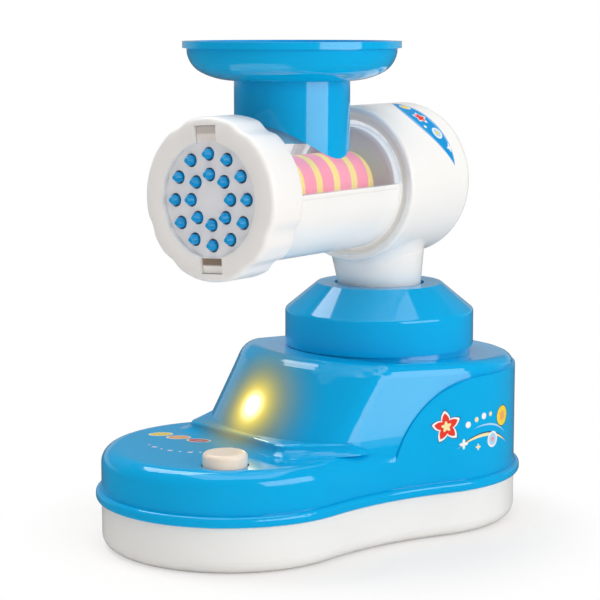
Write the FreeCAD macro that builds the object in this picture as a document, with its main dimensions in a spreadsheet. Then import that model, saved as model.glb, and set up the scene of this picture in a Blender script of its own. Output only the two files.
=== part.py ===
import FreeCAD, Part
import math
import os
import re
import Sketcher
from FreeCAD import Placement, Rotation, Vector

# Toy meat grinder. The origin is where the swivel axis of the head meets the floor.
# The toe of the base points to -Y, +Z is up, and the photographed side faces +X.
# The head is built facing -Y and turned about the swivel axis at the end.

doc = FreeCAD.newDocument("ToyMeatGrinder")
sheet = doc.addObject("Spreadsheet::Sheet", "Sizes")

SIZES = [
    # plan of the base: a toe circle and a heel circle joined by two hollow waists
    ("toe_centre", 57.9),
    ("toe_radius", 40.8),
    ("heel_centre", 4.8),
    ("heel_radius", 41.3),
    ("waist_radius", 97.0),
    # heights and walls of the base
    ("lip_proud", 1.7),
    ("lip_bottom", 14.1),
    ("lip_height", 3.4),
    ("lip_round", 1.3),
    ("deck_height", 29.8),
    ("deck_round", 4.6),
    ("shell_wall", 2.2),
    ("tray_wall", 2.0),
    ("tray_floor", 2.0),
    ("tray_round", 4.0),
    ("tray_rim_height", 2.4),
    ("tray_rim_wall", 1.2),
    ("seat_gap", 0.1),
    # step across the deck in front of the tower
    ("step_front", 57.3),
    ("step_half", 23.4),
    ("step_lean", 30.0),
    ("step_back", 21.0),
    ("step_corner", 6.0),
    ("step_rise", 3.4),
    ("step_foot", 2.6),
    ("step_spread", 5.6),
    ("step_lean_change", 13.0),
    ("step_round", 0.8),
    # fall of the step's shoulder towards the heel
    ("fall_start", 43.9),
    ("fall_radius", 30.0),
    ("fall_angle", 22.5),
    ("fall_end", 20.0),
    # tower under the swivel
    ("platform_height", 53.36),
    ("platform_round", 3.5),
    ("platform_tilt", 2.86),
    ("tower_gap", 1.5),
    ("tower_side_angle", 6.3),
    ("tower_side_length", 37.8),
    ("tower_corner_radius", 14.2),
    ("tower_front_radius", 48.0),
    ("top_shrink", 0.2),
    ("top_side_length", 25.4),
    ("top_corner_radius", 8.0),
    ("top_front_radius", 45.8),
    ("pad_centre", 8.0),
    ("pad_arc_radius", 33.0),
    ("pad_arc_height", 15.7),
    # swivel between the tower and the head
    ("boss_radius", 28.9),
    ("spigot_radius", 27.6),
    ("spigot_wall", 2.0),
    ("spigot_top", 60.0),
    ("collar_radius", 29.7),
    ("collar_bottom", 55.0),
    ("collar_shoulder", 66.0),
    ("collar_top", 74.3),
    ("collar_top_radius", 19.7),
    ("collar_wall", 2.0),
    ("collar_round", 1.4),
    ("collar_mouth", 14.1),
    ("collar_mouth_depth", 2.2),
    ("hub_radius", 17.8),
    ("hub_seat", 58.0),
    ("hub_bore", 11.2),
    ("retainer_radius", 22.5),
    ("retainer_thickness", 1.8),
    ("retainer_room", 0.4),
    ("running_gap", 0.1),
    ("retainer_screw_circle", 14.5),
    ("small_screw_radius", 1.0),
    ("small_screw_length", 7.0),
    ("small_head_radius", 1.9),
    ("small_head_height", 1.2),
    # head: barrel axis, motor drum and neck
    ("swivel_angle", 15.6),
    ("barrel_axis", 106.4),
    ("drum_radius", 23.8),
    ("drum_front", 17.65),
    ("drum_rear", 17.3),
    ("drum_rear_round", 4.2),
    ("drum_front_round", 1.0),
    ("drum_wall", 2.0),
    ("plate_seat_wall", 1.0),
    ("plate_front", 15.3),
    ("plate_thickness", 2.0),
    ("rear_cap_radius", 19.4),
    ("rear_cap_thickness", 2.0),
    ("rear_lip_wall", 1.4),
    ("rear_lip_depth", 1.0),
    ("neck_radius", 13.1),
    ("neck_flare", 1.5),
    ("neck_forward", 1.3),
    ("neck_flare_start", 74.0),
    ("neck_flare_end", 84.0),
    ("neck_wall", 2.0),
    # barrel, window and auger
    ("barrel_radius", 19.65),
    ("barrel_wall", 2.0),
    ("window_wall", 1.6),
    ("split_above_axis", 1.0),
    ("rim_height", 1.2),
    ("rim_proud", 0.4),
    ("rim_rear", 19.9),
    ("barrel_front", 80.0),
    ("auger_radius", 10.2),
    ("auger_rear", 18.0),
    ("auger_front", 77.5),
    ("auger_end_round", 0.8),
    ("pivot_radius", 2.0),
    ("shaft_radius", 1.5),
    ("shaft_grip", 12.0),
    ("bush_radius", 3.0),
    ("bush_flange", 4.2),
    ("bush_flange_thickness", 1.0),
    # ring nut, hole plate and pegs
    ("ring_radius", 23.2),
    ("ring_front", 85.5),
    ("ring_rear", 71.7),
    ("ring_flange", 1.4),
    ("ring_opening", 16.4),
    ("ring_round", 1.6),
    ("ring_roll", 3.1),
    ("grip_angle_top", 29.5),
    ("grip_angle_side", 112.0),
    ("grip_angle_low", 143.0),
    ("grip_radius", 4.0),
    ("grip_depth", 1.2),
    ("lug_height", 1.05),
    ("lug_length", 2.0),
    ("lug_width", 5.0),
    ("lug_rear", 75.0),
    ("bayonet_turn", 40.0),
    ("slot_width", 7.9),
    ("slot_radius", 20.9),
    ("ear_gap", 0.2),
    ("ear_sunk", 1.2),
    ("hole_plate_thickness", 3.4),
    ("peg_circle_outer", 12.82),
    ("peg_circle_inner", 7.06),
    ("peg_radius", 1.5),
    ("peg_hole_gap", 0.45),
    ("peg_stands_out", 2.35),
    ("peg_tip_height", 1.5),
    ("peg_tip_share", 0.42),
    ("peg_plate_radius", 15.5),
    ("peg_plate_thickness", 1.6),
    # hopper
    ("hopper_centre", 46.1),
    ("rim_top", 150.0),
    ("rim_radius", 32.0),
    ("rim_bead", 2.0),
    ("bowl_radius", 30.8),
    ("bowl_depth", 9.4),
    ("bowl_side_arc", 8.0),
    ("hopper_wall", 1.8),
    ("chute_radius", 17.0),
    ("saddle_gap", 0.1),
    ("spigot_bottom", 121.0),
    ("spigot_land", 127.0),
    ("spigot_thickness", 1.6),
    ("spigot_gap", 0.2),
    # push button, its spring and the switch
    ("button_side", 21.5),
    ("button_front", 75.8),
    ("button_radius", 6.5),
    ("button_hole_gap", 0.4),
    ("button_rise", 3.9),
    ("button_round", 1.3),
    ("button_flange", 1.0),
    ("button_flange_thickness", 1.8),
    ("button_travel", 1.8),
    ("button_stem", 2.5),
    ("guide_wall", 1.2),
    ("guide_depth", 5.4),
    ("spring_wire", 0.3),
    ("spring_radius", 4.9),
    ("spring_turns", 5.0),
    ("board_under", 16.2),
    ("board_thickness", 1.6),
    ("board_left", 16.0),
    ("board_right", 25.5),
    ("board_toe", 82.0),
    ("board_heel", 64.0),
    ("board_post_radius", 2.2),
    ("switch_side", 6.0),
    ("switch_height", 3.4),
    ("plunger_radius", 1.7),
    ("plunger_height", 0.25),
    # lamp in the slope of the tower
    ("lamp_height", 41.1),
    ("lamp_radius", 2.5),
    ("lamp_length", 6.0),
    ("lamp_out", 1.7),
    ("lamp_flange", 0.4),
    ("lamp_flange_thickness", 1.0),
    ("lamp_gap", 0.1),
    # cells, door and contacts
    ("cell_radius", 7.25),
    ("cell_length", 49.2),
    ("nub_radius", 2.6),
    ("nub_length", 1.3),
    ("cell_spacing", 15.4),
    ("cell_clear", 0.35),
    ("bay_front", 51.6),
    ("bay_wall", 1.4),
    ("bay_height", 12.0),
    ("contact_thickness", 0.5),
    ("contact_width", 10.0),
    ("contact_height", 9.0),
    ("contact_coil_length", 5.5),
    ("contact_coil_radius", 3.4),
    ("contact_coil_wire", 0.35),
    ("contact_coil_turns", 3.0),
    ("door_thickness", 1.8),
    ("door_gap", 0.2),
    ("door_ledge", 1.2),
    ("door_tongue_width", 12.0),
    ("door_tongue_length", 9.0),
    # posts and screws that hold the tray
    ("post_radius", 3.4),
    ("post_side", 27.0),
    ("post_side_front", 55.0),
    ("post_toe", 89.0),
    ("post_heel", 35.0),
    ("screw_radius", 1.25),
    ("screw_length", 12.0),
    ("screw_head_radius", 2.4),
    ("screw_head_height", 1.6),
    ("screw_sunk", 4.4),
    ("screw_gap", 0.05),
    ("recess_length_share", 1.3),
    ("recess_width_share", 0.28),
    ("recess_depth_share", 0.6),
    # motor and gear train
    ("motor_radius", 10.05),
    ("motor_half_height", 7.55),
    ("motor_rear", 11.2),
    ("motor_front", 8.2),
    ("motor_nose_radius", 3.0),
    ("motor_nose", 0.5),
    ("motor_shaft_radius", 1.0),
    ("motor_drop", 12.0),
    ("motor_screw_out", 7.0),
    ("motor_screw_high", 5.0),
    ("motor_screw_low", 0.5),
    ("gear_module", 0.5),
    ("pinion_teeth", 10),
    ("wheel_teeth", 30),
    ("first_gears", 9.0),
    ("second_gears", 11.0),
    ("gear_face", 1.8),
    ("tooth_foot_share", 0.85),
    ("tooth_tip_share", 0.36),
    ("tooth_shoulder_share", 0.1),
    ("tooth_tip", 0.4),
    ("tooth_root", 0.6),
    ("axle_radius", 1.0),
    ("axle_gap", 0.05),
    ("frame_post_radius", 1.6),
    ("housing_screw_side", 13.8),
    ("housing_screw_up", 8.0),
    ("housing_post_radius", 2.6),
    ("housing_post_rear", 2.0),
    ("housing_screw_length", 25.0),
]

for row, (alias, number) in enumerate(SIZES, start=1):
    sheet.set("A%d" % row, alias)
    sheet.set("B%d" % row, str(number))
    sheet.setAlias("B%d" % row, alias)
doc.recompute()
ALIASES = {alias for alias, number in SIZES}


def scoped(formula):
    """Put the sheet's name before each alias of a formula."""
    return re.sub(r"[a-z][a-z_]*", lambda word: "Sizes." + word.group() if word.group() in ALIASES
                  else word.group(), formula)


def size(formula):
    """The present value of a formula."""
    return float(sheet.evalExpression(scoped(formula)))


def bind(thing, prop, formula):
    thing.setExpression(prop, scoped(formula))


def place(thing, at=("0", "0", "0"), turn=None):
    """Put a solid at three formulas, turned by a fixed rotation."""
    thing.Placement = Placement(Vector(), turn or Rotation())
    for axis, formula in zip("xyz", at):
        bind(thing, "Placement.Base." + axis, formula)
    return thing


def primitive(kind, name, sizes, at=("0", "0", "0"), turn=None):
    solid = doc.addObject("Part::" + kind, name)
    for prop, formula in sizes.items():
        bind(solid, prop, formula)
    return place(solid, at, turn)


def cylinder(name, radius, height, at=("0", "0", "0"), turn=None):
    return primitive("Cylinder", name, {"Radius": radius, "Height": height}, at, turn)


def cone(name, low, high, height, at=("0", "0", "0"), turn=None):
    return primitive("Cone", name, {"Radius1": low, "Radius2": high, "Height": height}, at, turn)


def box(name, length, width, height, at=("0", "0", "0"), turn=None):
    return primitive("Box", name, {"Length": length, "Width": width, "Height": height}, at, turn)


def fuse(name, *solids):
    union = doc.addObject("Part::MultiFuse", name)
    union.Shapes = list(solids)
    union.Refine = True
    return union


def group(name, *solids):
    """Separate solids that share one node."""
    together = doc.addObject("Part::Compound", name)
    together.Links = list(solids)
    return together


def cut(name, solid, *tools):
    result = doc.addObject("Part::Cut", name)
    result.Base = solid
    result.Tool = tools[0] if len(tools) == 1 else fuse(name + "_tools", *tools)
    result.Refine = False
    return result


def common(name, *solids):
    result = doc.addObject("Part::MultiCommon", name)
    result.Shapes = list(solids)
    return result


def origin_plane(body, role):
    return next(item for item in body.Origin.OriginFeatures if item.Role == role)


def new_sketch(body, name, role, lift="0"):
    sketch = body.newObject("Sketcher::SketchObject", name)
    sketch.AttachmentSupport = (origin_plane(body, role), [""])
    sketch.MapMode = "FlatFace"
    bind(sketch, "AttachmentOffset.Base.z", lift)
    return sketch


def outline(sketch, nodes):
    """Closed outline through nodes of two formulas each.

    A node may add a radius formula and a side: then an arc leaves it, with its centre to
    the left (+1) or the right (-1) of the way to the next node.
    """
    points = [Vector(size(node[0]), size(node[1]), 0) for node in nodes]
    ends = []
    rules = []
    formulas = []
    for index, node in enumerate(nodes):
        start = points[index]
        stop = points[(index + 1) % len(points)]
        if len(node) == 2:
            sketch.addGeometry(Part.LineSegment(start, stop), False)
            ends.append((1, 2))
        else:
            radius = size(node[2])
            chord = stop - start
            rise = math.sqrt(max(radius ** 2 - chord.Length ** 2 / 4, 0.0))
            left = Vector(-chord.y, chord.x, 0).normalize()
            centre = (start + stop) * 0.5 + left * (rise * node[3])
            first, last = (start, stop) if node[3] > 0 else (stop, start)
            angles = [math.atan2(end.y - centre.y, end.x - centre.x) for end in (first, last)]
            circle = Part.Circle(centre, Vector(0, 0, 1), radius)
            sketch.addGeometry(Part.ArcOfCircle(circle, angles[0], angles[1]), False)
            ends.append((1, 2) if node[3] > 0 else (2, 1))
    for index, node in enumerate(nodes):
        after = (index + 1) % len(nodes)
        rules.append(Sketcher.Constraint("Coincident", index, ends[index][1], after, ends[after][0]))
        for kind, axis, formula in (("DistanceX", -2, node[0]), ("DistanceY", -1, node[1])):
            if formula == "0":
                rules.append(Sketcher.Constraint("PointOnObject", index, ends[index][0], axis))
            else:
                formulas.append((len(rules), formula))
                rules.append(Sketcher.Constraint(kind, -1, 1, index, ends[index][0], size(formula)))
        if len(node) > 2:
            formulas.append((len(rules), node[2]))
            rules.append(Sketcher.Constraint("Radius", index, size(node[2])))
    sketch.addConstraint(rules)
    for index, formula in formulas:
        bind(sketch, "Constraints[%d]" % index, formula)
    return sketch


def turned(name, nodes):
    """A solid of revolution about Z from (radius, height) nodes."""
    body = doc.addObject("PartDesign::Body", name)
    sketch = outline(new_sketch(body, name + "_profile", "XZ_Plane"), nodes)
    turn = body.newObject("PartDesign::Revolution", name + "_turn")
    turn.Profile = sketch
    turn.ReferenceAxis = (sketch, ["V_Axis"])
    turn.Angle = 360
    sketch.Visibility = False
    doc.recompute()
    return body


def rod(name, radius, low, high):
    """A plain round rod about Z between two heights."""
    return turned(name, [("0", low), (radius, low), (radius, high), ("0", high)])


def rounded(body, radius, chosen):
    """Round the edges of the body's last feature that the test picks."""
    doc.recompute()
    last = body.Tip
    names = ["Edge%d" % (index + 1) for index, edge in enumerate(last.Shape.Edges) if chosen(edge)]
    fillet = body.newObject("PartDesign::Fillet", body.Name + "_round%d" % len(body.Group))
    fillet.Base = (last, names)
    bind(fillet, "Radius", radius)
    doc.recompute()
    return body


def ring_edge(radius, height):
    """Test for the circle of one radius at one height on the Z axis."""
    def test(edge):
        middle = edge.CenterOfMass
        far = edge.Vertexes[0].Point
        return (abs(middle.z - size(height)) < 1e-4 and abs(far.z - size(height)) < 1e-4
                and abs(math.hypot(far.x, far.y) - size(radius)) < 1e-4)
    return test


def level_edge(height):
    """Test for edges that lie wholly at one height."""
    def test(edge):
        box_of_edge = edge.BoundBox
        return abs(box_of_edge.ZMin - size(height)) < 1e-4 and abs(box_of_edge.ZMax - size(height)) < 1e-4
    return test


def base_plan(name, inset, low, high, top_round=None, low_round=None):
    """A slab of the base's plan, inset all round, between two heights."""
    body = doc.addObject("PartDesign::Body", name)
    sketch = new_sketch(body, name + "_plan", "XY_Plane", low)
    shift = size(inset)
    toe = Vector(0, -size("toe_centre"), 0)
    heel = Vector(0, size("heel_centre"), 0)
    waist = size("waist_radius")
    to_toe = waist + size("toe_radius")
    to_heel = waist + size("heel_radius")
    apart = (heel - toe).Length
    along = (to_toe ** 2 - to_heel ** 2 + apart ** 2) / (2 * apart)
    out = math.sqrt(to_toe ** 2 - along ** 2)
    lean_toe = math.degrees(math.atan2(along, out))
    lean_heel = math.degrees(math.atan2(apart - along, out))
    arcs = [
        (toe, size("toe_radius") - shift, 180 - lean_toe, 360 + lean_toe),
        (Vector(out, toe.y + along, 0), waist + shift, 180 - lean_heel, 180 + lean_toe),
        (heel, size("heel_radius") - shift, -lean_heel, 180 + lean_heel),
        (Vector(-out, toe.y + along, 0), waist + shift, -lean_toe, lean_heel),
    ]
    for centre, radius, first, last in arcs:
        circle = Part.Circle(centre, Vector(0, 0, 1), radius)
        sketch.addGeometry(Part.ArcOfCircle(circle, math.radians(first), math.radians(last)), False)
    rules = [
        Sketcher.Constraint("Tangent", 0, 2, 1, 2),
        Sketcher.Constraint("Tangent", 1, 1, 2, 1),
        Sketcher.Constraint("Tangent", 2, 2, 3, 2),
        Sketcher.Constraint("Tangent", 3, 1, 0, 1),
        Sketcher.Constraint("PointOnObject", 0, 3, -2),
        Sketcher.Constraint("PointOnObject", 2, 3, -2),
        Sketcher.Constraint("DistanceY", 0, 3, -1, 1, size("toe_centre")),
        Sketcher.Constraint("DistanceY", -1, 1, 2, 3, size("heel_centre")),
        Sketcher.Constraint("Radius", 0, size("toe_radius") - shift),
        Sketcher.Constraint("Radius", 1, waist + shift),
        Sketcher.Constraint("Radius", 2, size("heel_radius") - shift),
        Sketcher.Constraint("Radius", 3, waist + shift),
    ]
    sketch.addConstraint(rules)
    formulas = ["toe_centre", "heel_centre", "toe_radius - (%s)" % inset, "waist_radius + (%s)" % inset,
                "heel_radius - (%s)" % inset, "waist_radius + (%s)" % inset]
    for index, formula in enumerate(formulas, start=6):
        bind(sketch, "Constraints[%d]" % index, formula)
    pad = body.newObject("PartDesign::Pad", name + "_slab")
    pad.Profile = sketch
    bind(pad, "Length", "(%s) - (%s)" % (high, low))
    sketch.Visibility = False
    doc.recompute()
    if top_round:
        rounded(body, top_round, level_edge(high))
    if low_round:
        rounded(body, low_round, level_edge(low))
    return body


def tower_plan(height, inset="0"):
    """Formulas of the tower's plan at one level: its radii, the ends of its edges and its front."""
    foot = "(deck_height + step_rise)"
    share = "((%s - %s) / (platform_height - %s))" % (height, foot, foot)
    corner = "(tower_corner_radius + (top_corner_radius - tower_corner_radius) * %s)" % share
    front = "(tower_front_radius + (top_front_radius - tower_front_radius) * %s)" % share
    side_length = "(tower_side_length + (top_side_length - tower_side_length) * %s)" % share
    arc = "(heel_radius - lip_proud - tower_gap - top_shrink * %s - %s)" % (share, inset)
    side_x = "(%s * cos(tower_side_angle))" % arc
    side_y = "(heel_centre + tower_gap - %s * sin(tower_side_angle))" % arc
    front_x = "(%s - %s * sin(tower_side_angle))" % (side_x, side_length)
    front_y = "(%s - %s * cos(tower_side_angle))" % (side_y, side_length)
    corner_x = "(%s - (%s - %s) * cos(tower_side_angle))" % (front_x, corner, inset)
    corner_y = "(%s + (%s - %s) * sin(tower_side_angle))" % (front_y, corner, inset)
    reach = "(%s - %s)" % (front, corner)
    drop = "sqrt(%s^2 - %s^2)" % (reach, corner_x)
    return {
        "corner": "(%s - %s)" % (corner, inset),
        "front": "(%s - %s)" % (front, inset),
        "arc": arc,
        "side": (side_x, side_y),
        "bend": (front_x, front_y),
        "touch": ("(%s * (%s - %s) / %s)" % (corner_x, front, inset, reach),
                  "(%s + %s - %s * (%s - %s) / %s)" % (corner_y, drop, drop, front, inset, reach)),
        "rear": "(heel_centre + tower_gap + %s)" % arc,
        "nose": "(%s + %s - %s + %s)" % (corner_y, drop, front, inset),
    }


def leaned_back(sketch):
    """Tilt a level of the tower about X, so that it falls towards the heel."""
    sketch.AttachmentOffset = Placement(sketch.AttachmentOffset.Base,
                                        Rotation(Vector(-1, 0, 0), size("platform_tilt")))
    bind(sketch, "AttachmentOffset.Rotation.Angle", "platform_tilt")
    return sketch


def tower_section(body, name, inset, height):
    """One level of the tower: rear arc, straight sides, round corners and a bowed front, all tangent."""
    plan = tower_plan(height, inset)
    bend_x, bend_y = plan["bend"]
    touch_x, touch_y = plan["touch"]
    side_x, side_y = plan["side"]
    return outline(new_sketch(body, name, "XY_Plane", height), [
        ("-" + bend_x, bend_y, plan["corner"], 1),
        ("-" + touch_x, touch_y, plan["front"], 1),
        (touch_x, touch_y, plan["corner"], 1),
        (bend_x, bend_y),
        (side_x, side_y, plan["arc"], 1),
        ("0", plan["rear"], plan["arc"], 1),
        ("-" + side_x, side_y),
    ])


def tower(name, inset, low):
    """The tower with its rounded top edge, or its hollow when an inset is given."""
    body = doc.addObject("PartDesign::Body", name)
    foot = tower_section(body, name + "_foot", inset, "(deck_height + step_rise)")
    levels = []
    for step in range(ROUND_STEPS + 1):
        angle = 90 * step / ROUND_STEPS
        bend = "(platform_round - %s)" % inset
        height = "(platform_height - %s - %s * (1 - sin(%g)))" % (inset, bend, angle)
        level = tower_section(body, name + "_level_%d" % step,
                              "(%s + %s * (1 - cos(%g)))" % (inset, bend, angle), height)
        levels.append(leaned_back(level))
    loft = body.newObject("PartDesign::AdditiveLoft", name + "_rise")
    loft.Profile = foot
    loft.Sections = levels
    loft.Ruled = True
    base = doc.addObject("PartDesign::Body", name + "_base")
    root = tower_section(base, name + "_root", inset, "(deck_height + step_rise)")
    pad = base.newObject("PartDesign::Pad", name + "_plinth")
    pad.Profile = root
    pad.Reversed = True
    bind(pad, "Length", "deck_height + step_rise - (%s)" % low)
    doc.recompute()
    return [body, base]


def step_section(body, name, height, share):
    """One level of the step: a straight front, two round corners and sides that lean out.

    The share is 0 at its upright edge, 1 at its foot and below 0 in the rounding on top.
    """
    lean = "(step_lean - step_lean_change * (%s))" % share
    front = "(step_front + step_foot * (%s))" % share
    half = "(step_half + step_spread * (%s))" % share
    corner = "(step_corner + step_foot * (%s))" % share
    centre_x = "(%s - %s * (1 - sin(%s)) / cos(%s))" % (half, corner, lean, lean)
    touch_x = "(%s + %s * cos(%s))" % (centre_x, corner, lean)
    touch_y = "(%s * (1 - sin(%s)) - %s)" % (corner, lean, front)
    rear_x = "(%s - (step_back + %s) * tan(%s))" % (touch_x, touch_y, lean)
    return outline(new_sketch(body, name, "XY_Plane", height), [
        ("-" + touch_x, touch_y, corner, 1),
        ("-" + centre_x, "-" + front),
        (centre_x, "-" + front, corner, 1),
        (touch_x, touch_y),
        (rear_x, "-step_back"),
        ("-" + rear_x, "-step_back"),
    ])


def step_rise():
    """The step with its hollow foot and rounded top edge, as wide as its sides lean out."""
    body = doc.addObject("PartDesign::Body", "step_skin")
    levels = [("deck_height - seat_gap", "1")]
    for step in range(1, ROUND_STEPS + 1):
        angle = 90 * step / ROUND_STEPS
        levels.append(("deck_height + step_foot * (1 - cos(%g))" % angle, "1 - sin(%g)" % angle))
    for angle in (30, 60, 90):
        levels.append(("deck_height + step_rise - step_round * (1 - sin(%g))" % angle,
                       "-step_round * (1 - cos(%g)) / step_foot" % angle))
    sections = [step_section(body, "step_level_%d" % index, height, share)
                for index, (height, share) in enumerate(levels)]
    loft = body.newObject("PartDesign::AdditiveLoft", "step_loft")
    loft.Profile = sections[0]
    loft.Sections = sections[1:]
    loft.Ruled = True
    doc.recompute()
    return body


def step_shoulder():
    """The base's plan up to the step, with a rounded top edge that falls towards the heel."""
    top = "(deck_height + step_rise + seat_gap)"
    low = "lip_bottom + lip_height"
    body = base_plan("step_shoulder", "lip_proud", low, top)
    bend_y = "(fall_radius * sin(fall_angle) - fall_start)"
    bend_z = "(%s - fall_radius * (1 - cos(fall_angle)))" % top
    end_z = "(%s + (fall_end + %s) * tan(fall_angle))" % (bend_z, bend_y)
    fall = outline(new_sketch(body, "step_fall", "YZ_Plane"), [
        ("-fall_start", top, "fall_radius", -1),
        (bend_y, bend_z),
        ("-fall_end", end_z),
        ("-fall_end", "lip_bottom"),
        ("heel_centre + heel_radius", "lip_bottom"),
        ("heel_centre + heel_radius", top + " + lip_height"),
        ("-fall_start", top + " + lip_height"),
    ])
    pocket = body.newObject("PartDesign::Pocket", "step_fall_cut")
    pocket.Profile = fall
    bind(pocket, "Length", "heel_radius * 3")
    pocket.SideType = "Symmetric"
    fall.Visibility = False
    floor = size(low)
    return rounded(body, "deck_round", lambda edge: edge.Curve.TypeId != "Part::GeomLine"
                   and edge.BoundBox.ZMin > floor + 1)


def side_profile(name, nodes, half_width):
    """A solid from a (y, z) outline, as wide each way from the middle plane as asked."""
    body = doc.addObject("PartDesign::Body", name)
    sketch = outline(new_sketch(body, name + "_side", "YZ_Plane"), nodes)
    pad = body.newObject("PartDesign::Pad", name + "_width")
    pad.Profile = sketch
    bind(pad, "Length", "2 * (%s)" % half_width)
    pad.SideType = "Symmetric"
    sketch.Visibility = False
    doc.recompute()
    return body


def toothed_wheel(name, teeth, low, phase):
    """A spur wheel about Z: a root disc and one tooth repeated round it."""
    body = doc.addObject("PartDesign::Body", name)
    pitch = "gear_module * (%s) / 2" % teeth
    root = "(%s - tooth_root)" % pitch
    tip = "(%s + tooth_tip)" % pitch
    disc = new_sketch(body, name + "_disc", "XY_Plane", low)
    disc.addGeometry(Part.Circle(Vector(), Vector(0, 0, 1), size(root)), False)
    disc.addConstraint([Sketcher.Constraint("Coincident", 0, 3, -1, 1),
                        Sketcher.Constraint("Radius", 0, size(root))])
    bind(disc, "Constraints[1]", root)
    blank = body.newObject("PartDesign::Pad", name + "_blank")
    blank.Profile = disc
    bind(blank, "Length", "gear_face")
    flank = new_sketch(body, name + "_flank", "XY_Plane", low)
    outline(flank, [
        ("-gear_module * tooth_foot_share", root + " - gear_module"),
        ("gear_module * tooth_foot_share", root + " - gear_module"),
        ("gear_module * tooth_foot_share", root + " - gear_module * tooth_shoulder_share"),
        ("gear_module * tooth_tip_share", tip),
        ("-gear_module * tooth_tip_share", tip),
        ("-gear_module * tooth_foot_share", root + " - gear_module * tooth_shoulder_share"),
    ])
    tooth = body.newObject("PartDesign::Pad", name + "_tooth")
    tooth.Profile = flank
    bind(tooth, "Length", "gear_face")
    doc.recompute()
    ring = body.newObject("PartDesign::PolarPattern", name + "_teeth")
    ring.Originals = [tooth]
    ring.Axis = (disc, ["N_Axis"])
    ring.Angle = 360
    bind(ring, "Occurrences", teeth)
    body.Tip = ring
    doc.recompute()
    body.Placement = Placement(Vector(), Rotation(Vector(0, 0, 1), phase))
    return body


def coil_path(radius, pitch, turns):
    """A rising coil about Z as pairs of tangent arcs, one pair for each quarter turn."""
    edges = []
    quarters = int(round(turns * 4))
    climb = pitch / (2 * math.pi)

    def point(angle):
        return Vector(radius * math.cos(angle), radius * math.sin(angle), climb * angle)

    def heading(angle):
        return Vector(-radius * math.sin(angle), radius * math.cos(angle), climb).normalize()

    def arc(start, corner, stop):
        middle = (start + stop) * 0.5
        weight = (start - middle).Length / (start - corner).Length
        return Part.Arc(start, (middle + corner * weight) * (1 / (1 + weight)), stop).toShape()

    for quarter in range(quarters):
        first = quarter * math.pi / 2
        last = first + math.pi / 2
        start, stop, leave, arrive = point(first), point(last), heading(first), heading(last)
        across = stop - start
        along = across.dot(leave + arrive)
        bend = 2 * (leave.dot(arrive) - 1)
        reach = (-along + math.sqrt(along ** 2 - bend * across.dot(across))) / bend
        reach = abs(reach)
        joint = (start + stop + (leave - arrive) * reach) * 0.5
        edges.append(arc(start, start + leave * reach, joint))
        edges.append(arc(joint, stop - arrive * reach, stop))
    return Part.Wire(edges)


def coil(name, radius, wire, length, turns):
    """One unbroken coil of round wire that fills the length between its two seats."""
    rise = length - 2 * wire
    path = coil_path(radius, rise / turns, turns)
    start = path.Edges[0]
    ring = Part.Wire([Part.Circle(start.valueAt(start.FirstParameter),
                                  start.tangentAt(start.FirstParameter), wire).toShape()])
    print(name, "least gap between turns", round(rise / turns - 2 * wire, 3))
    tube = doc.addObject("Part::Feature", name)
    tube.Shape = path.makePipeShell([ring], True, False)
    return tube


UP_TO_FRONT = Rotation(Vector(1, 0, 0), 90)
TO_FRONT_DOWN = Rotation(Vector(1, 0, 0), -90)
AXIS_AT = ("0", "0", "barrel_axis")
HEAD_TURN = Rotation(Vector(0, 0, 1), size("swivel_angle"))
sub_parts = []


def keep(label, solid, turn=None, at=None):
    """Name a finished sub-part, and turn a sub-part of the head with the head."""
    solid.Label = label
    if turn:
        place(solid, at or ("0", "0", "0"), turn)
    sub_parts.append(solid)
    return solid


def on_axis(solid, x="0", y="0"):
    """Stand a solid built along Z on the barrel axis, in the head's own frame."""
    return place(solid, (x, "0", "barrel_axis + (%s)" % y), UP_TO_FRONT)


def keep_on_axis(label, solid):
    """Keep a sub-part that was built along Z with Z as the barrel axis."""
    return keep(label, solid, HEAD_TURN.multiply(UP_TO_FRONT), AXIS_AT)


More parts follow.
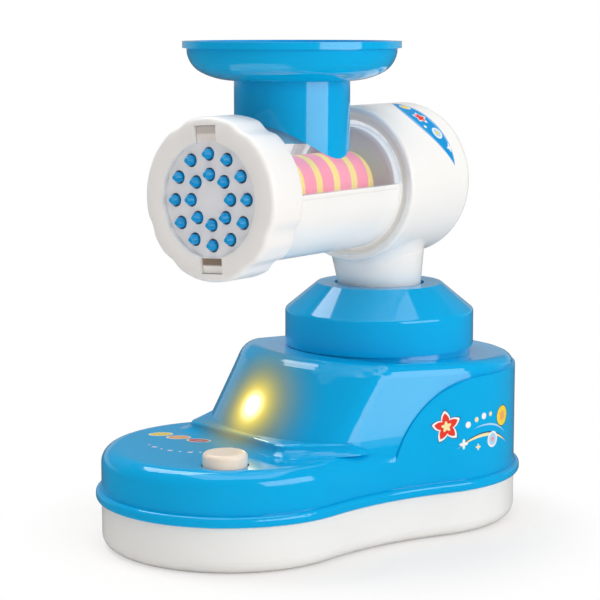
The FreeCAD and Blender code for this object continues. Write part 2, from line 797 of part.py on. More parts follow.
def make_base_shell():
    """Blue upper moulding: skirt, lip, deck, step, tower, heel pad and swivel boss."""
    wall = "lip_proud + shell_wall"
    skirt = base_plan("shell_skirt", "lip_proud", "lip_bottom", "deck_height", top_round="deck_round")
    lip = base_plan("shell_lip", "0", "lip_bottom", "lip_bottom + lip_height")
    rounded(lip, "lip_round", level_edge("lip_bottom"))
    rounded(lip, "lip_round", level_edge("lip_bottom + lip_height"))
    step = common("shell_step", step_shoulder(), step_rise())
    rise = tower("tower_skin", "0", "deck_height - deck_round")
    heel_slab = base_plan("shell_heel_slab", "lip_proud", "lip_bottom + lip_height",
                          "pad_arc_height + pad_arc_radius")
    heel_side = side_profile("shell_heel_side", [
        ("pad_centre - pad_arc_radius", "lip_bottom"),
        ("heel_centre + heel_radius", "lip_bottom"),
        ("heel_centre + heel_radius", "pad_arc_height + pad_arc_radius"),
        ("pad_centre", "pad_arc_height + pad_arc_radius", "pad_arc_radius", 1),
        ("pad_centre - pad_arc_radius", "pad_arc_height"),
    ], "heel_radius")
    heel = common("shell_heel", heel_slab, heel_side)
    seat_low = "platform_height - shell_wall"
    boss = cylinder("shell_boss", "boss_radius", "collar_bottom - running_gap - platform_height + shell_wall",
                    ("0", "0", seat_low))
    spigot = cylinder("shell_spigot", "spigot_radius", "spigot_top - platform_height",
                      ("0", "0", "platform_height"))
    outside = fuse("shell_outside", skirt, lip, step, *rise, heel, boss, spigot)
    hollow = base_plan("shell_hollow", wall, "lip_bottom - seat_gap", "deck_height - shell_wall",
                       top_round="deck_round - shell_wall")
    inner = tower("tower_hollow", "shell_wall", "deck_height - shell_wall - deck_round")
    seat = cylinder("shell_seat", "spigot_radius", "shell_wall", ("0", "0", seat_low))
    seat_room = cylinder("shell_seat_room", "retainer_radius + retainer_room", "shell_wall * 2",
                         ("0", "0", seat_low + " - shell_wall * 2"))
    core = cylinder("shell_core", "spigot_radius - spigot_wall", "spigot_top - platform_height + seat_gap",
                    ("0", "0", "platform_height"))
    hub_hole = cylinder("shell_hub_hole", "hub_radius + running_gap", "shell_wall * 3",
                        ("0", "0", "platform_height - shell_wall * 2"))
    button_at = ("button_side", "-button_front")
    button_hole = cylinder("shell_button_hole", "button_radius + button_hole_gap", "shell_wall * 3",
                           (*button_at, "deck_height - shell_wall * 2"))
    lamp_hole = cylinder("shell_lamp_hole", "lamp_radius + lamp_gap", "shell_wall * 6",
                         lamp_place("-shell_wall * 3"), Rotation(Vector(1, 0, 0), lamp_tilt()))
    skin = outside
    for index, hole in enumerate((hollow, *inner)):
        skin = cut("shell_skin_%d" % index, skin, hole)
    skin = fuse("shell_seated", skin, seat)
    for index, hole in enumerate((seat_room, core, hub_hole, button_hole, lamp_hole)):
        skin = cut("shell_pierced_%d" % index, skin, hole)
    guide_top = "deck_height - shell_wall / 2"
    guide = cylinder("shell_guide", "button_radius + button_flange + running_gap + guide_wall",
                     "guide_depth + shell_wall / 2", (*button_at, "deck_height - shell_wall - guide_depth"))
    posts = []
    for place_name, (x, y) in POSTS.items():
        top = seat_low if place_name == "heel" else guide_top
        posts.append(cylinder("shell_post_" + place_name, "post_radius", "%s - lip_bottom" % top,
                              (x, y, "lip_bottom")))
    for index, (x, y) in enumerate(BOARD_POSTS):
        posts.append(cylinder("board_post_%d" % index, "board_post_radius",
                              "%s - board_under - board_thickness" % guide_top,
                              (x, y, "board_under + board_thickness")))
    bores = [cylinder("shell_guide_bore", "button_radius + button_flange + running_gap",
                      "guide_depth + seat_gap",
                      (*button_at, "deck_height - shell_wall - guide_depth - seat_gap")),
             cylinder("shell_guide_mouth", "button_radius + button_hole_gap", "shell_wall * 3",
                      (*button_at, "deck_height - shell_wall * 2"))]
    for place_name, (x, y) in POSTS.items():
        bores.append(cylinder("shell_pilot_" + place_name, "screw_radius + screw_gap", "screw_length",
                              (x, y, "lip_bottom - seat_gap")))
    for index, (x, y) in enumerate(BOARD_POSTS):
        bores.append(cylinder("board_pilot_%d" % index, "small_screw_radius + screw_gap",
                              "small_screw_length", (x, y, "board_under + board_thickness - seat_gap")))
    with_posts = fuse("shell_with_posts", skin, guide, *posts)
    keep("base_shell", cut("base_shell", with_posts, *bores))


def make_base_tray():
    """White lower moulding with the battery bay, screw posts and a rim inside the shell."""
    outer = base_plan("tray_outer", "lip_proud", "0", "lip_bottom", low_round="tray_round")
    hollow = base_plan("tray_hollow", "lip_proud + tray_wall", "tray_floor", "lip_bottom - tray_rim_height",
                       low_round="tray_round - tray_wall")
    rim_in = "lip_proud + shell_wall + seat_gap"
    rim = base_plan("tray_rim", rim_in, "tray_floor + tray_round", "lip_bottom + tray_rim_height")
    rim_hollow = base_plan("tray_rim_hollow", rim_in + " + tray_rim_wall", "tray_floor",
                           "lip_bottom + tray_rim_height + seat_gap", low_round="tray_round - tray_wall")
    skin = cut("tray_skin", cut("tray_room", fuse("tray_solid", outer, rim), hollow), rim_hollow)
    bay_length = "(contact_thickness * 2 + nub_length + cell_length + contact_coil_length)"
    bay_half = "(cell_spacing / 2 + cell_radius + cell_clear)"
    frame = box("bay_frame", "2 * (%s + bay_wall)" % bay_half, "%s + 2 * bay_wall" % bay_length,
                "bay_height - tray_floor / 2",
                ("-%s - bay_wall" % bay_half, "-bay_front - bay_wall", "tray_floor / 2"))
    screw_pad = cylinder("door_screw_pad", "post_radius", "bay_height - tray_floor",
                         ("0", "-bay_front + %s + door_tongue_length - post_radius" % bay_length,
                          "tray_floor / 2"))
    posts = [cylinder("tray_post_" + place_name, "post_radius", "lip_bottom - tray_floor / 2",
                      (x, y, "tray_floor / 2")) for place_name, (x, y) in POSTS.items()]
    solid = fuse("tray_filled", skin, frame, screw_pad, *posts)
    bay = box("bay_hollow", "2 * " + bay_half, bay_length, "bay_height + tray_floor",
              ("-" + bay_half, "-bay_front", "-tray_floor"))
    ledge = box("bay_ledge", "2 * (%s + door_ledge)" % bay_half, bay_length + " + 2 * door_ledge",
                "door_thickness + tray_floor",
                ("-%s - door_ledge" % bay_half, "-bay_front - door_ledge", "-tray_floor"))
    tongue = box("tongue_hollow", "door_tongue_width", "door_tongue_length + bay_wall",
                 "door_thickness + tray_floor",
                 ("-door_tongue_width / 2", "-bay_front + %s" % bay_length, "-tray_floor"))
    bores = [bay, ledge, tongue,
             cylinder("door_pilot", "small_screw_radius + screw_gap", "bay_height",
                      ("0", DOOR_SCREW_Y, "-seat_gap"))]
    for place_name, (x, y) in POSTS.items():
        bores.append(cylinder("tray_bore_" + place_name, "screw_radius + screw_gap", "lip_bottom + seat_gap",
                              (x, y, "0")))
        bores.append(cylinder("tray_sink_" + place_name, "screw_head_radius + running_gap",
                              "screw_sunk + seat_gap", (x, y, "-seat_gap")))
    keep("base_tray", cut("base_tray", solid, *bores))


def make_battery_door():
    """Flush door in the floor of the tray, with a tongue for its screw."""
    bay_length = "(contact_thickness * 2 + nub_length + cell_length + contact_coil_length)"
    bay_half = "(cell_spacing / 2 + cell_radius + cell_clear)"
    panel = box("door_panel", "2 * (%s + door_ledge - door_gap)" % bay_half,
                bay_length + " + 2 * (door_ledge - door_gap)", "door_thickness",
                ("-%s - door_ledge + door_gap" % bay_half, "-bay_front - door_ledge + door_gap", "0"))
    tongue = box("door_tongue", "door_tongue_width - 2 * door_gap", "door_tongue_length", "door_thickness",
                 ("-door_tongue_width / 2 + door_gap", "-bay_front + %s" % bay_length, "0"))
    hole = cylinder("door_hole", "small_screw_radius + screw_gap", "tray_floor * 3",
                    ("0", DOOR_SCREW_Y, "-tray_floor"))
    sink = cylinder("door_sink", "small_head_radius + running_gap", "small_head_height",
                    ("0", DOOR_SCREW_Y, "0"))
    keep("battery_door", cut("battery_door", fuse("door_solid", panel, tongue), hole, sink))
    keep("battery_door_screw", screw("battery_door_screw", "small_screw_radius", "small_screw_length",
                                     "small_head_radius", "small_head_height",
                                     ("0", DOOR_SCREW_Y, "0")))


def screw(name, radius, length, head_radius, head_height, at, turn=None):
    """A round-headed screw with its head at the bottom and a cross recess in the head."""
    head = cylinder(name + "_head", head_radius, head_height)
    shank = cylinder(name + "_shank", radius, "(%s) + (%s)" % (length, head_height))
    slots = []
    for tag, spin in (("a", 0), ("b", 90)):
        corner = ("-(%s) * recess_length_share / 2" % head_radius,
                  "-(%s) * recess_width_share / 2" % head_radius)
        if spin:
            corner = (corner[1][1:], corner[0])
        slots.append(box(name + "_slot_" + tag, head_radius + " * recess_length_share",
                         head_radius + " * recess_width_share", "(%s) * recess_depth_share" % head_height,
                         (*corner, "0"), Rotation(Vector(0, 0, 1), spin)))
    solid = cut(name, fuse(name + "_solid", head, shank), *slots)
    return place(solid, at, turn)


def make_base_screws():
    """Four screws that draw the tray up to the posts of the shell."""
    screws = []
    for place_name, (x, y) in POSTS.items():
        screws.append(screw("base_screw_" + place_name, "screw_radius", "screw_length", "screw_head_radius",
                            "screw_head_height", (x, y, "screw_sunk - screw_head_height")))
    keep("base_screws", group("base_screws", *screws))


def make_cells():
    """Two AA cells side by side, one turned end for end, with their contacts."""
    height = "door_thickness + cell_radius + cell_clear"
    for index, side in enumerate(("-", "")):
        can = cylinder("cell_can_%d" % index, "cell_radius", "cell_length", ("0", "0", "nub_length"))
        nub = cylinder("cell_nub_%d" % index, "nub_radius", "nub_length + seat_gap")
        cell = fuse("battery_cell_%d" % (index + 1), can, nub)
        x = side + "cell_spacing / 2"
        if index == 0:
            place(cell, (x, "-bay_front + contact_thickness", height), TO_FRONT_DOWN)
        else:
            place(cell, (x, "-bay_front + contact_thickness + contact_coil_length + cell_length + nub_length",
                         height), UP_TO_FRONT)
        keep("battery_cell_%d" % (index + 1), cell)
    bay_length = "(contact_thickness * 2 + nub_length + cell_length + contact_coil_length)"
    low = "door_thickness + cell_radius + cell_clear - contact_height / 2"
    far = "-bay_front + %s - contact_thickness" % bay_length
    plates = [box("contact_bridge", "cell_spacing + contact_width", "contact_thickness", "contact_height",
                  ("-(cell_spacing + contact_width) / 2", "-bay_front", low))]
    for index, side in enumerate(("-", "")):
        plates.append(box("contact_plate_%d" % index, "contact_width", "contact_thickness", "contact_height",
                          (side + "cell_spacing / 2 - contact_width / 2", far, low)))
    keep("contact_plates", group("contact_plates", *plates))
    coils = []
    for index, (x, y, turn) in enumerate((("-cell_spacing / 2", far, UP_TO_FRONT),
                                          ("cell_spacing / 2", "-bay_front + contact_thickness",
                                           TO_FRONT_DOWN))):
        spring = coil("contact_coil_%d" % index, size("contact_coil_radius"), size("contact_coil_wire"),
                      size("contact_coil_length"), size("contact_coil_turns"))
        shift = turn.multVec(Vector(0, 0, size("contact_coil_wire")))
        spring.Placement = Placement(Vector(size(x), size(y), size(height)) + shift, turn)
        coils.append(spring)
    keep("contact_springs", group("contact_springs", *coils))


def make_button():
    """Push button with a flange below the deck and a stem down to the switch."""
    top = "deck_height + button_rise"
    under = "deck_height - shell_wall"
    flange_low = "deck_height - shell_wall - running_gap - button_flange_thickness"
    switch_top = "board_under + board_thickness + switch_height + plunger_height"
    stem_low = switch_top + " + running_gap / 2 + button_travel"
    body = turned("push_button", [
        ("0", stem_low),
        ("button_stem", stem_low),
        ("button_stem", flange_low),
        ("button_radius + button_flange", flange_low),
        ("button_radius + button_flange", under + " - running_gap"),
        ("button_radius", under + " - running_gap"),
        ("button_radius", top),
        ("0", top),
    ])
    rounded(body, "button_round", ring_edge("button_radius", top))
    keep("push_button", place(body, ("button_side", "-button_front", "0")))
    seat = "board_under + board_thickness"
    length = size(flange_low) - size(seat)
    spring = coil("button_spring", size("spring_radius"), size("spring_wire"), length, size("spring_turns"))
    place(spring, ("button_side", "-button_front", seat + " + spring_wire"))
    keep("button_spring", spring)


def make_board():
    """Circuit board on posts below the deck, with the switch under the button."""
    panel = box("board_panel", "board_left + board_right", "board_toe - board_heel", "board_thickness",
                ("-board_left", "-board_toe", "board_under"))
    holes = [cylinder("board_hole_%d" % index, "small_screw_radius + screw_gap", "board_thickness * 3",
                      (x, y, "board_under - board_thickness")) for index, (x, y) in enumerate(BOARD_POSTS)]
    keep("circuit_board", cut("circuit_board", panel, *holes))
    screws = [screw("board_screw_%d" % index, "small_screw_radius", "small_screw_length - small_head_height",
                    "small_head_radius", "small_head_height", (x, y, "board_under - small_head_height"))
              for index, (x, y) in enumerate(BOARD_POSTS)]
    keep("board_screws", group("board_screws", *screws))
    block = box("switch_block", "switch_side", "switch_side", "switch_height",
                ("button_side - switch_side / 2", "-button_front - switch_side / 2",
                 "board_under + board_thickness"))
    plunger = cylinder("switch_plunger", "plunger_radius", "plunger_height + seat_gap",
                       ("button_side", "-button_front",
                        "board_under + board_thickness + switch_height - seat_gap"))
    keep("switch", fuse("switch", block, plunger))


def front_slope():
    """The foot and the head of the tower's front slope in the middle plane, as (y, z) formulas."""
    foot = "(deck_height + step_rise)"
    head = "(platform_height - platform_round)"
    nose = tower_plan(head)["nose"]
    return ((tower_plan(foot)["nose"], foot),
            ("(%s * cos(platform_tilt))" % nose, "(%s - %s * sin(platform_tilt))" % (head, nose)))


def lamp_tilt():
    """Angle from upright to the lamp's axis, square to the front slope of the tower."""
    foot, head = front_slope()
    return math.degrees(math.atan2(size(head[1]) - size(foot[1]), size(head[0]) - size(foot[0])))


def lamp_place(out):
    """Point on the lamp's axis, some way out of the slope."""
    foot, head = front_slope()
    lean = "%g" % lamp_tilt()
    along = "((lamp_height - %s) / (%s - %s))" % (foot[1], head[1], foot[1])
    return ("0", "%s + (%s - %s) * %s - (%s) * sin(%s)" % (foot[0], head[0], foot[0], along, out, lean),
            "lamp_height + (%s) * cos(%s)" % (out, lean))


def make_lamp():
    """Clear lamp with a round nose that looks out of the slope of the tower."""
    lamp = turned("led_lamp", [
        ("0", "-lamp_length"),
        ("lamp_radius + lamp_flange", "-lamp_length"),
        ("lamp_radius + lamp_flange", "-lamp_length + lamp_flange_thickness"),
        ("lamp_radius", "-lamp_length + lamp_flange_thickness"),
        ("lamp_radius", "-lamp_radius", "lamp_radius", 1),
        ("0", "0"),
    ])
    keep("led_lamp", lamp, Rotation(Vector(1, 0, 0), lamp_tilt()), lamp_place("lamp_out"))


def make_swivel():
    """Collar that turns on the tower, with a retainer below the platform."""
    collar = turned("collar_shell", [
        ("collar_radius", "collar_bottom"),
        ("collar_radius", "collar_shoulder"),
        ("collar_top_radius", "collar_top"),
        ("collar_mouth", "collar_top"),
        ("collar_mouth", "collar_top - collar_mouth_depth"),
        ("neck_radius + running_gap / 2", "collar_top - collar_mouth_depth"),
        ("neck_radius + running_gap / 2", "hub_seat"),
        ("hub_bore", "hub_seat"),
        ("hub_bore", "platform_height - shell_wall - running_gap"),
        ("hub_radius", "platform_height - shell_wall - running_gap"),
        ("hub_radius", "collar_top - collar_mouth_depth - collar_wall / 2"),
        ("collar_top_radius - collar_wall / 2", "collar_top - collar_wall"),
        ("collar_radius - collar_wall", "collar_shoulder - collar_wall / 2"),
        ("collar_radius - collar_wall", "collar_bottom"),
    ])
    rounded(collar, "collar_round", ring_edge("collar_radius", "collar_shoulder"))
    pilots = [cylinder("collar_pilot_%d" % index, "small_screw_radius + screw_gap",
                       "small_screw_length", (*at, "platform_height - shell_wall - running_gap"))
              for index, at in enumerate(RETAINER_SCREWS)]
    keep("swivel_collar", cut("swivel_collar", collar, *pilots), HEAD_TURN)
    low = "platform_height - shell_wall - running_gap - retainer_thickness"
    disc = cylinder("retainer_disc", "retainer_radius", "retainer_thickness", ("0", "0", low))
    bore = cylinder("retainer_bore", "hub_bore", "retainer_thickness * 3",
                    ("0", "0", low + " - retainer_thickness"))
    holes = [cylinder("retainer_hole_%d" % index, "small_screw_radius + screw_gap",
                      "retainer_thickness * 3", (*at, low + " - retainer_thickness"))
             for index, at in enumerate(RETAINER_SCREWS)]
    keep("swivel_retainer", cut("swivel_retainer", disc, bore, *holes), HEAD_TURN)
    screws = [screw("retainer_screw_%d" % index, "small_screw_radius", "small_screw_length",
                    "small_head_radius", "small_head_height", (*at, low + " - small_head_height"))
              for index, at in enumerate(RETAINER_SCREWS)]
    keep("retainer_screws", group("retainer_screws", *screws), HEAD_TURN)


def make_motor_housing():
    """White drum that holds the motor, in one piece with the neck below it."""
    inner = "drum_radius - drum_wall - plate_seat_wall"
    lip = "-drum_rear + rear_cap_thickness + seat_gap * 2"
    skin = turned("drum_skin", [
        ("rear_cap_radius + running_gap", "-drum_rear"),
        ("drum_radius", "-drum_rear"),
        ("drum_radius", "drum_front"),
        ("drum_radius - drum_wall", "drum_front"),
        ("drum_radius - drum_wall", "plate_front - plate_thickness"),
        (inner, "plate_front - plate_thickness"),
        (inner, lip + " + rear_lip_depth"),
        ("rear_cap_radius - rear_lip_wall", lip + " + rear_lip_depth"),
        ("rear_cap_radius - rear_lip_wall", lip),
        ("rear_cap_radius + running_gap", lip),
    ])
    rounded(skin, "drum_rear_round", ring_edge("drum_radius", "-drum_rear"))
    rounded(skin, "drum_front_round", ring_edge("drum_radius", "drum_front"))
    on_axis(skin)
    rod = cylinder("neck_rod", "neck_radius", "neck_flare_start - hub_seat", ("0", "0", "hub_seat"))
    flare = doc.addObject("PartDesign::Body", "neck_widening")
    rings = []
    for index, (radius, forward, height) in enumerate((
            ("neck_radius", "0", "neck_flare_start"),
            ("neck_radius + neck_flare", "neck_forward", "neck_flare_end"))):
        ring = new_sketch(flare, "neck_ring_%d" % index, "XY_Plane", height)
        ring.addGeometry(Part.Circle(Vector(0, -size(forward), 0), Vector(0, 0, 1), size(radius)), False)
        ring.addConstraint([Sketcher.Constraint("PointOnObject", 0, 3, -2),
                            Sketcher.Constraint("Radius", 0, size(radius))])
        bind(ring, "Constraints[1]", radius)
        if forward == "0":
            ring.addConstraint(Sketcher.Constraint("PointOnObject", 0, 3, -1))
        else:
            ring.addConstraint(Sketcher.Constraint("DistanceY", 0, 3, -1, 1, size(forward)))
            bind(ring, "Constraints[2]", forward)
        rings.append(ring)
    widening = flare.newObject("PartDesign::AdditiveLoft", "neck_loft")
    widening.Profile = rings[0]
    widening.Sections = rings[1:]
    widening.Ruled = True
    root = cylinder("neck_root", "neck_radius + neck_flare", "drum_radius - neck_wall",
                    ("0", "-neck_forward", "neck_flare_end"))
    inside = cylinder("neck_inside", inner, "drum_front + drum_rear")
    place(inside, ("0", "drum_rear", "barrel_axis"), UP_TO_FRONT)
    neck = cut("neck_solid", fuse("neck_outer", rod, flare, root), inside)
    bore = cylinder("neck_bore", "neck_radius - neck_wall", "barrel_axis - hub_seat - drum_wall * 4",
                    ("0", "0", "hub_seat - seat_gap"))
    front_room = cylinder("neck_front_room", "drum_radius - drum_wall", "drum_front * 2")
    place(front_room, ("0", "-plate_front + plate_thickness", "barrel_axis"), UP_TO_FRONT)
    trimmed = cut("neck_trimmed", neck, front_room)
    keep("motor_housing", cut("motor_housing", fuse("housing_solid", skin, trimmed), bore), HEAD_TURN)
    cap = cylinder("rear_cap_disc", "rear_cap_radius", "rear_cap_thickness",
                   ("0", "0", "-drum_rear + seat_gap"))
    holes = []
    for side in ("-", ""):
        at = (side + "housing_screw_side", "housing_screw_up")
        holes.append(cylinder("cap_hole" + side.replace("-", "_far"), "screw_radius + screw_gap",
                              "rear_cap_thickness * 3", (*at, "-drum_rear - rear_cap_thickness")))
    keep_on_axis("rear_cap", cut("rear_cap", cap, *holes))
    screws = [screw("housing_screw_%d" % index, "screw_radius", "housing_screw_length", "screw_head_radius",
                    "screw_head_height", (side + "housing_screw_side", "housing_screw_up",
                                          "-drum_rear + seat_gap - screw_head_height"))
              for index, side in enumerate(("-", ""))]
    keep_on_axis("housing_screws", group("housing_screws", *screws))


def make_barrel():
    """White lower half of the barrel with the round plate that carries the gear train."""
    length = "barrel_front - plate_front + plate_thickness / 2"
    tube = cut("barrel_tube", cylinder("barrel_outer", "barrel_radius", length,
                                       ("0", "0", "plate_front - plate_thickness / 2")),
               cylinder("barrel_bore", "barrel_radius - barrel_wall", length + " + plate_thickness",
                        ("0", "0", "plate_front")))
    rim = cut("barrel_rim", cylinder("barrel_rim_outer", "barrel_radius + rim_proud",
                                     "ring_rear - rim_rear - saddle_gap * 3", ("0", "0", "rim_rear")),
              cylinder("barrel_rim_bore", "barrel_radius - barrel_wall", "barrel_front", ("0", "0", "0")),
              box("barrel_rim_below", "drum_radius * 4", "drum_radius * 2", "barrel_front * 2",
                  ("-drum_radius * 2", "split_above_axis - rim_height - drum_radius * 2",
                   "-barrel_front / 2")))
    lugs = []
    for index, side in enumerate((1, -1)):
        lug = cut("barrel_lug_%d" % index,
                  cylinder("lug_disc_%d" % index, "barrel_radius + lug_height", "lug_length",
                           ("0", "0", "lug_rear")),
                  cylinder("lug_bore_%d" % index, "barrel_radius - barrel_wall / 2", "lug_length * 3",
                           ("0", "0", "lug_rear - lug_length")))
        slab = box("lug_slab_%d" % index, "drum_radius", "lug_width", "lug_length",
                   ("0" if side > 0 else "-drum_radius", "-lug_width - split_above_axis", "lug_rear"))
        lugs.append(common("lug_%d" % index, lug, slab))
    upper = box("barrel_upper_half", "drum_radius * 4", "drum_radius * 2", "barrel_front * 2",
                ("-drum_radius * 2", "split_above_axis", "plate_front"))
    trough = cut("barrel_trough", fuse("barrel_rimmed", tube, rim, *lugs), upper)
    plate = cylinder("gear_plate", "drum_radius - drum_wall - running_gap", "plate_thickness",
                     ("0", "0", "plate_front - plate_thickness"))
    ring = cut("window_seat", cylinder("window_seat_outer", "barrel_radius - barrel_wall - running_gap",
                                       "barrel_wall * 1.5", ("0", "0", "plate_front - seat_gap")),
               cylinder("window_seat_bore", "barrel_radius - barrel_wall * 1.6", "barrel_wall * 4",
                        ("0", "0", "plate_front - barrel_wall")))
    rear = "plate_front - plate_thickness / 2"
    posts = []
    for index, (x, y) in enumerate(MOTOR_POSTS):
        posts.append(cylinder("motor_post_%d" % index, "frame_post_radius", rear + " - motor_front",
                              (x, y, "motor_front")))
    for index, side in enumerate(("-", "")):
        posts.append(cylinder("housing_post_%d" % index, "housing_post_radius", rear + " - housing_post_rear",
                              (side + "housing_screw_side", "housing_screw_up", "housing_post_rear")))
    solid = fuse("barrel_solid", trough, plate, ring, *posts)
    bores = [cylinder("bush_bore", "bush_radius + screw_gap", "plate_thickness * 3",
                      ("0", "0", "plate_front - plate_thickness * 2")),
             cylinder("idler_bore", "axle_radius + screw_gap", "plate_thickness * 3",
                      (*IDLER_AT, "plate_front - plate_thickness * 2"))]
    for index, (x, y) in enumerate(MOTOR_POSTS):
        bores.append(cylinder("motor_screw_bore_%d" % index, "small_screw_radius + screw_gap",
                              "plate_front", (x, y, "motor_front - seat_gap")))
    for index, side in enumerate(("-", "")):
        bores.append(cylinder("housing_pilot_%d" % index, "screw_radius + screw_gap",
                              "housing_screw_length - drum_rear - housing_post_rear + screw_length / 4",
                              (side + "housing_screw_side", "housing_screw_up",
                               "housing_post_rear - seat_gap")))
    keep_on_axis("barrel_lower", cut("barrel_lower", solid, *bores))


def make_window():
    """Clear upper half of the barrel with the round hole for the chute."""
    tube = cut("window_tube", cylinder("window_outer", "barrel_radius", "barrel_front - plate_front",
                                       ("0", "0", "plate_front")),
               cylinder("window_bore", "barrel_radius - window_wall", "barrel_front * 2", ("0", "0", "0")),
               box("window_lower_half", "drum_radius * 4", "drum_radius * 2", "barrel_front * 2",
                   ("-drum_radius * 2", "split_above_axis - drum_radius * 2", "0")))
    hole = cylinder("window_hole", "chute_radius - hopper_wall - running_gap", "barrel_radius * 2",
                    ("0", "0", "hopper_centre"), Rotation(Vector(1, 0, 0), -90))
    keep_on_axis("clear_window", cut("clear_window", tube, hole))


def make_auger():
    """Auger drum on a steel shaft that runs in a bush in the gear plate."""
    grip = "auger_rear + shaft_grip"
    auger = turned("auger_drum", [
        ("shaft_radius", "auger_rear"),
        ("auger_radius", "auger_rear"),
        ("auger_radius", "auger_front"),
        ("pivot_radius", "auger_front"),
        ("pivot_radius", "barrel_front + running_gap"),
        ("0", "barrel_front + running_gap"),
        ("0", grip),
        ("shaft_radius", grip),
    ])
    rounded(auger, "auger_end_round", ring_edge("auger_radius", "auger_rear"))
    keep_on_axis("auger_drum", auger)
    keep_on_axis("auger_shaft", rod("auger_shaft", "shaft_radius", "second_gears - seat_gap", grip))
    bush = turned("shaft_bush", [
        ("shaft_radius + axle_gap", "plate_front - plate_thickness"),
        ("bush_radius", "plate_front - plate_thickness"),
        ("bush_radius", "plate_front"),
        ("bush_flange", "plate_front"),
        ("bush_flange", "plate_front + bush_flange_thickness"),
        ("shaft_radius + axle_gap", "plate_front + bush_flange_thickness"),
    ])
    keep_on_axis("shaft_bush", bush)


def make_gears():
    """Motor pinion, compound idler and drive gear, nine to one in two stages."""
    pinion_phase = math.degrees(math.atan2(size(IDLER_AT[1]) + size("motor_drop"), size(IDLER_AT[0])))
    to_shaft = math.degrees(math.atan2(-size(IDLER_AT[1]), -size(IDLER_AT[0])))
    half_wheel = 180 / size("wheel_teeth")
    wheel_phase = pinion_phase + 180 + half_wheel - 90
    drive_phase = to_shaft + 180 + half_wheel - 90
    pinion = toothed_wheel("pinion_gear", "pinion_teeth", "first_gears", pinion_phase - 90)
    stem = cylinder("motor_shaft", "motor_shaft_radius", "first_gears + gear_face - motor_front",
                    ("0", "0", "motor_front"))
    turning = fuse("motor_pinion", pinion, stem)
    keep("motor_pinion", turning, HEAD_TURN.multiply(UP_TO_FRONT), ("0", "0", "barrel_axis - motor_drop"))
    wheel = toothed_wheel("idler_wheel", "wheel_teeth", "first_gears", wheel_phase)
    small = toothed_wheel("idler_small", "pinion_teeth", "second_gears", to_shaft - 90)
    hub = cylinder("idler_hub", "gear_module * pinion_teeth / 2 - tooth_root",
                   "second_gears - first_gears", ("0", "0", "first_gears"))
    bore = cylinder("idler_gear_bore", "axle_radius + axle_gap", "plate_front",
                    ("0", "0", "first_gears - seat_gap"))
    idler = cut("idler_gear", fuse("idler_solid", wheel, small, hub), bore)
    keep("idler_gear", idler, HEAD_TURN.multiply(UP_TO_FRONT),
         ("(%s) * cos(swivel_angle)" % IDLER_AT[0], "(%s) * sin(swivel_angle)" % IDLER_AT[0],
          "barrel_axis + (%s)" % IDLER_AT[1]))
    keep("idler_axle", rod("idler_axle", "axle_radius", "motor_front + axle_gap", "plate_front"),
         HEAD_TURN.multiply(UP_TO_FRONT),
         ("(%s) * cos(swivel_angle)" % IDLER_AT[0], "(%s) * sin(swivel_angle)" % IDLER_AT[0],
          "barrel_axis + (%s)" % IDLER_AT[1]))
    drive = toothed_wheel("drive_wheel", "wheel_teeth", "second_gears", drive_phase)
    drive_bore = cylinder("drive_bore", "shaft_radius", "plate_front", ("0", "0", "second_gears - seat_gap"))
    keep_on_axis("drive_gear", cut("drive_gear", drive, drive_bore))


def make_motor():
    """Small flat-sided motor below the barrel axis, on two posts of the gear plate."""
    length = "motor_front + motor_rear"
    round_can = cylinder("motor_can_round", "motor_radius", length, ("0", "0", "-motor_rear"))
    flats = box("motor_can_flats", "motor_radius * 2", "motor_half_height * 2", length,
                ("-motor_radius", "-motor_half_height", "-motor_rear"))
    nose = cylinder("motor_nose_ring", "motor_nose_radius", "motor_nose + seat_gap",
                    ("0", "0", "motor_front - seat_gap"))
    bore = cylinder("motor_bore", "motor_shaft_radius + axle_gap", "motor_nose * 4 + gear_face",
                    ("0", "0", "motor_front - gear_face"))
    holes = [cylinder("motor_tap_%d" % index, "small_screw_radius + screw_gap", "gear_face * 2",
                      (x, "(%s) + motor_drop" % y, "motor_front - gear_face * 1.5"))
             for index, (x, y) in enumerate(MOTOR_POSTS)]
    can = cut("motor", fuse("motor_solid", common("motor_can", round_can, flats), nose), bore, *holes)
    keep("motor", can, HEAD_TURN.multiply(UP_TO_FRONT), ("0", "0", "barrel_axis - motor_drop"))
    turn_back = Rotation(Vector(1, 0, 0), 180)
    screws = [screw("motor_screw_%d" % index, "small_screw_radius", "plate_front - motor_front + gear_face",
                    "small_head_radius", "small_head_height", (x, y, "plate_front + small_head_height"),
                    turn_back)
              for index, (x, y) in enumerate(MOTOR_POSTS)]
    keep_on_axis("motor_screws", group("motor_screws", *screws))


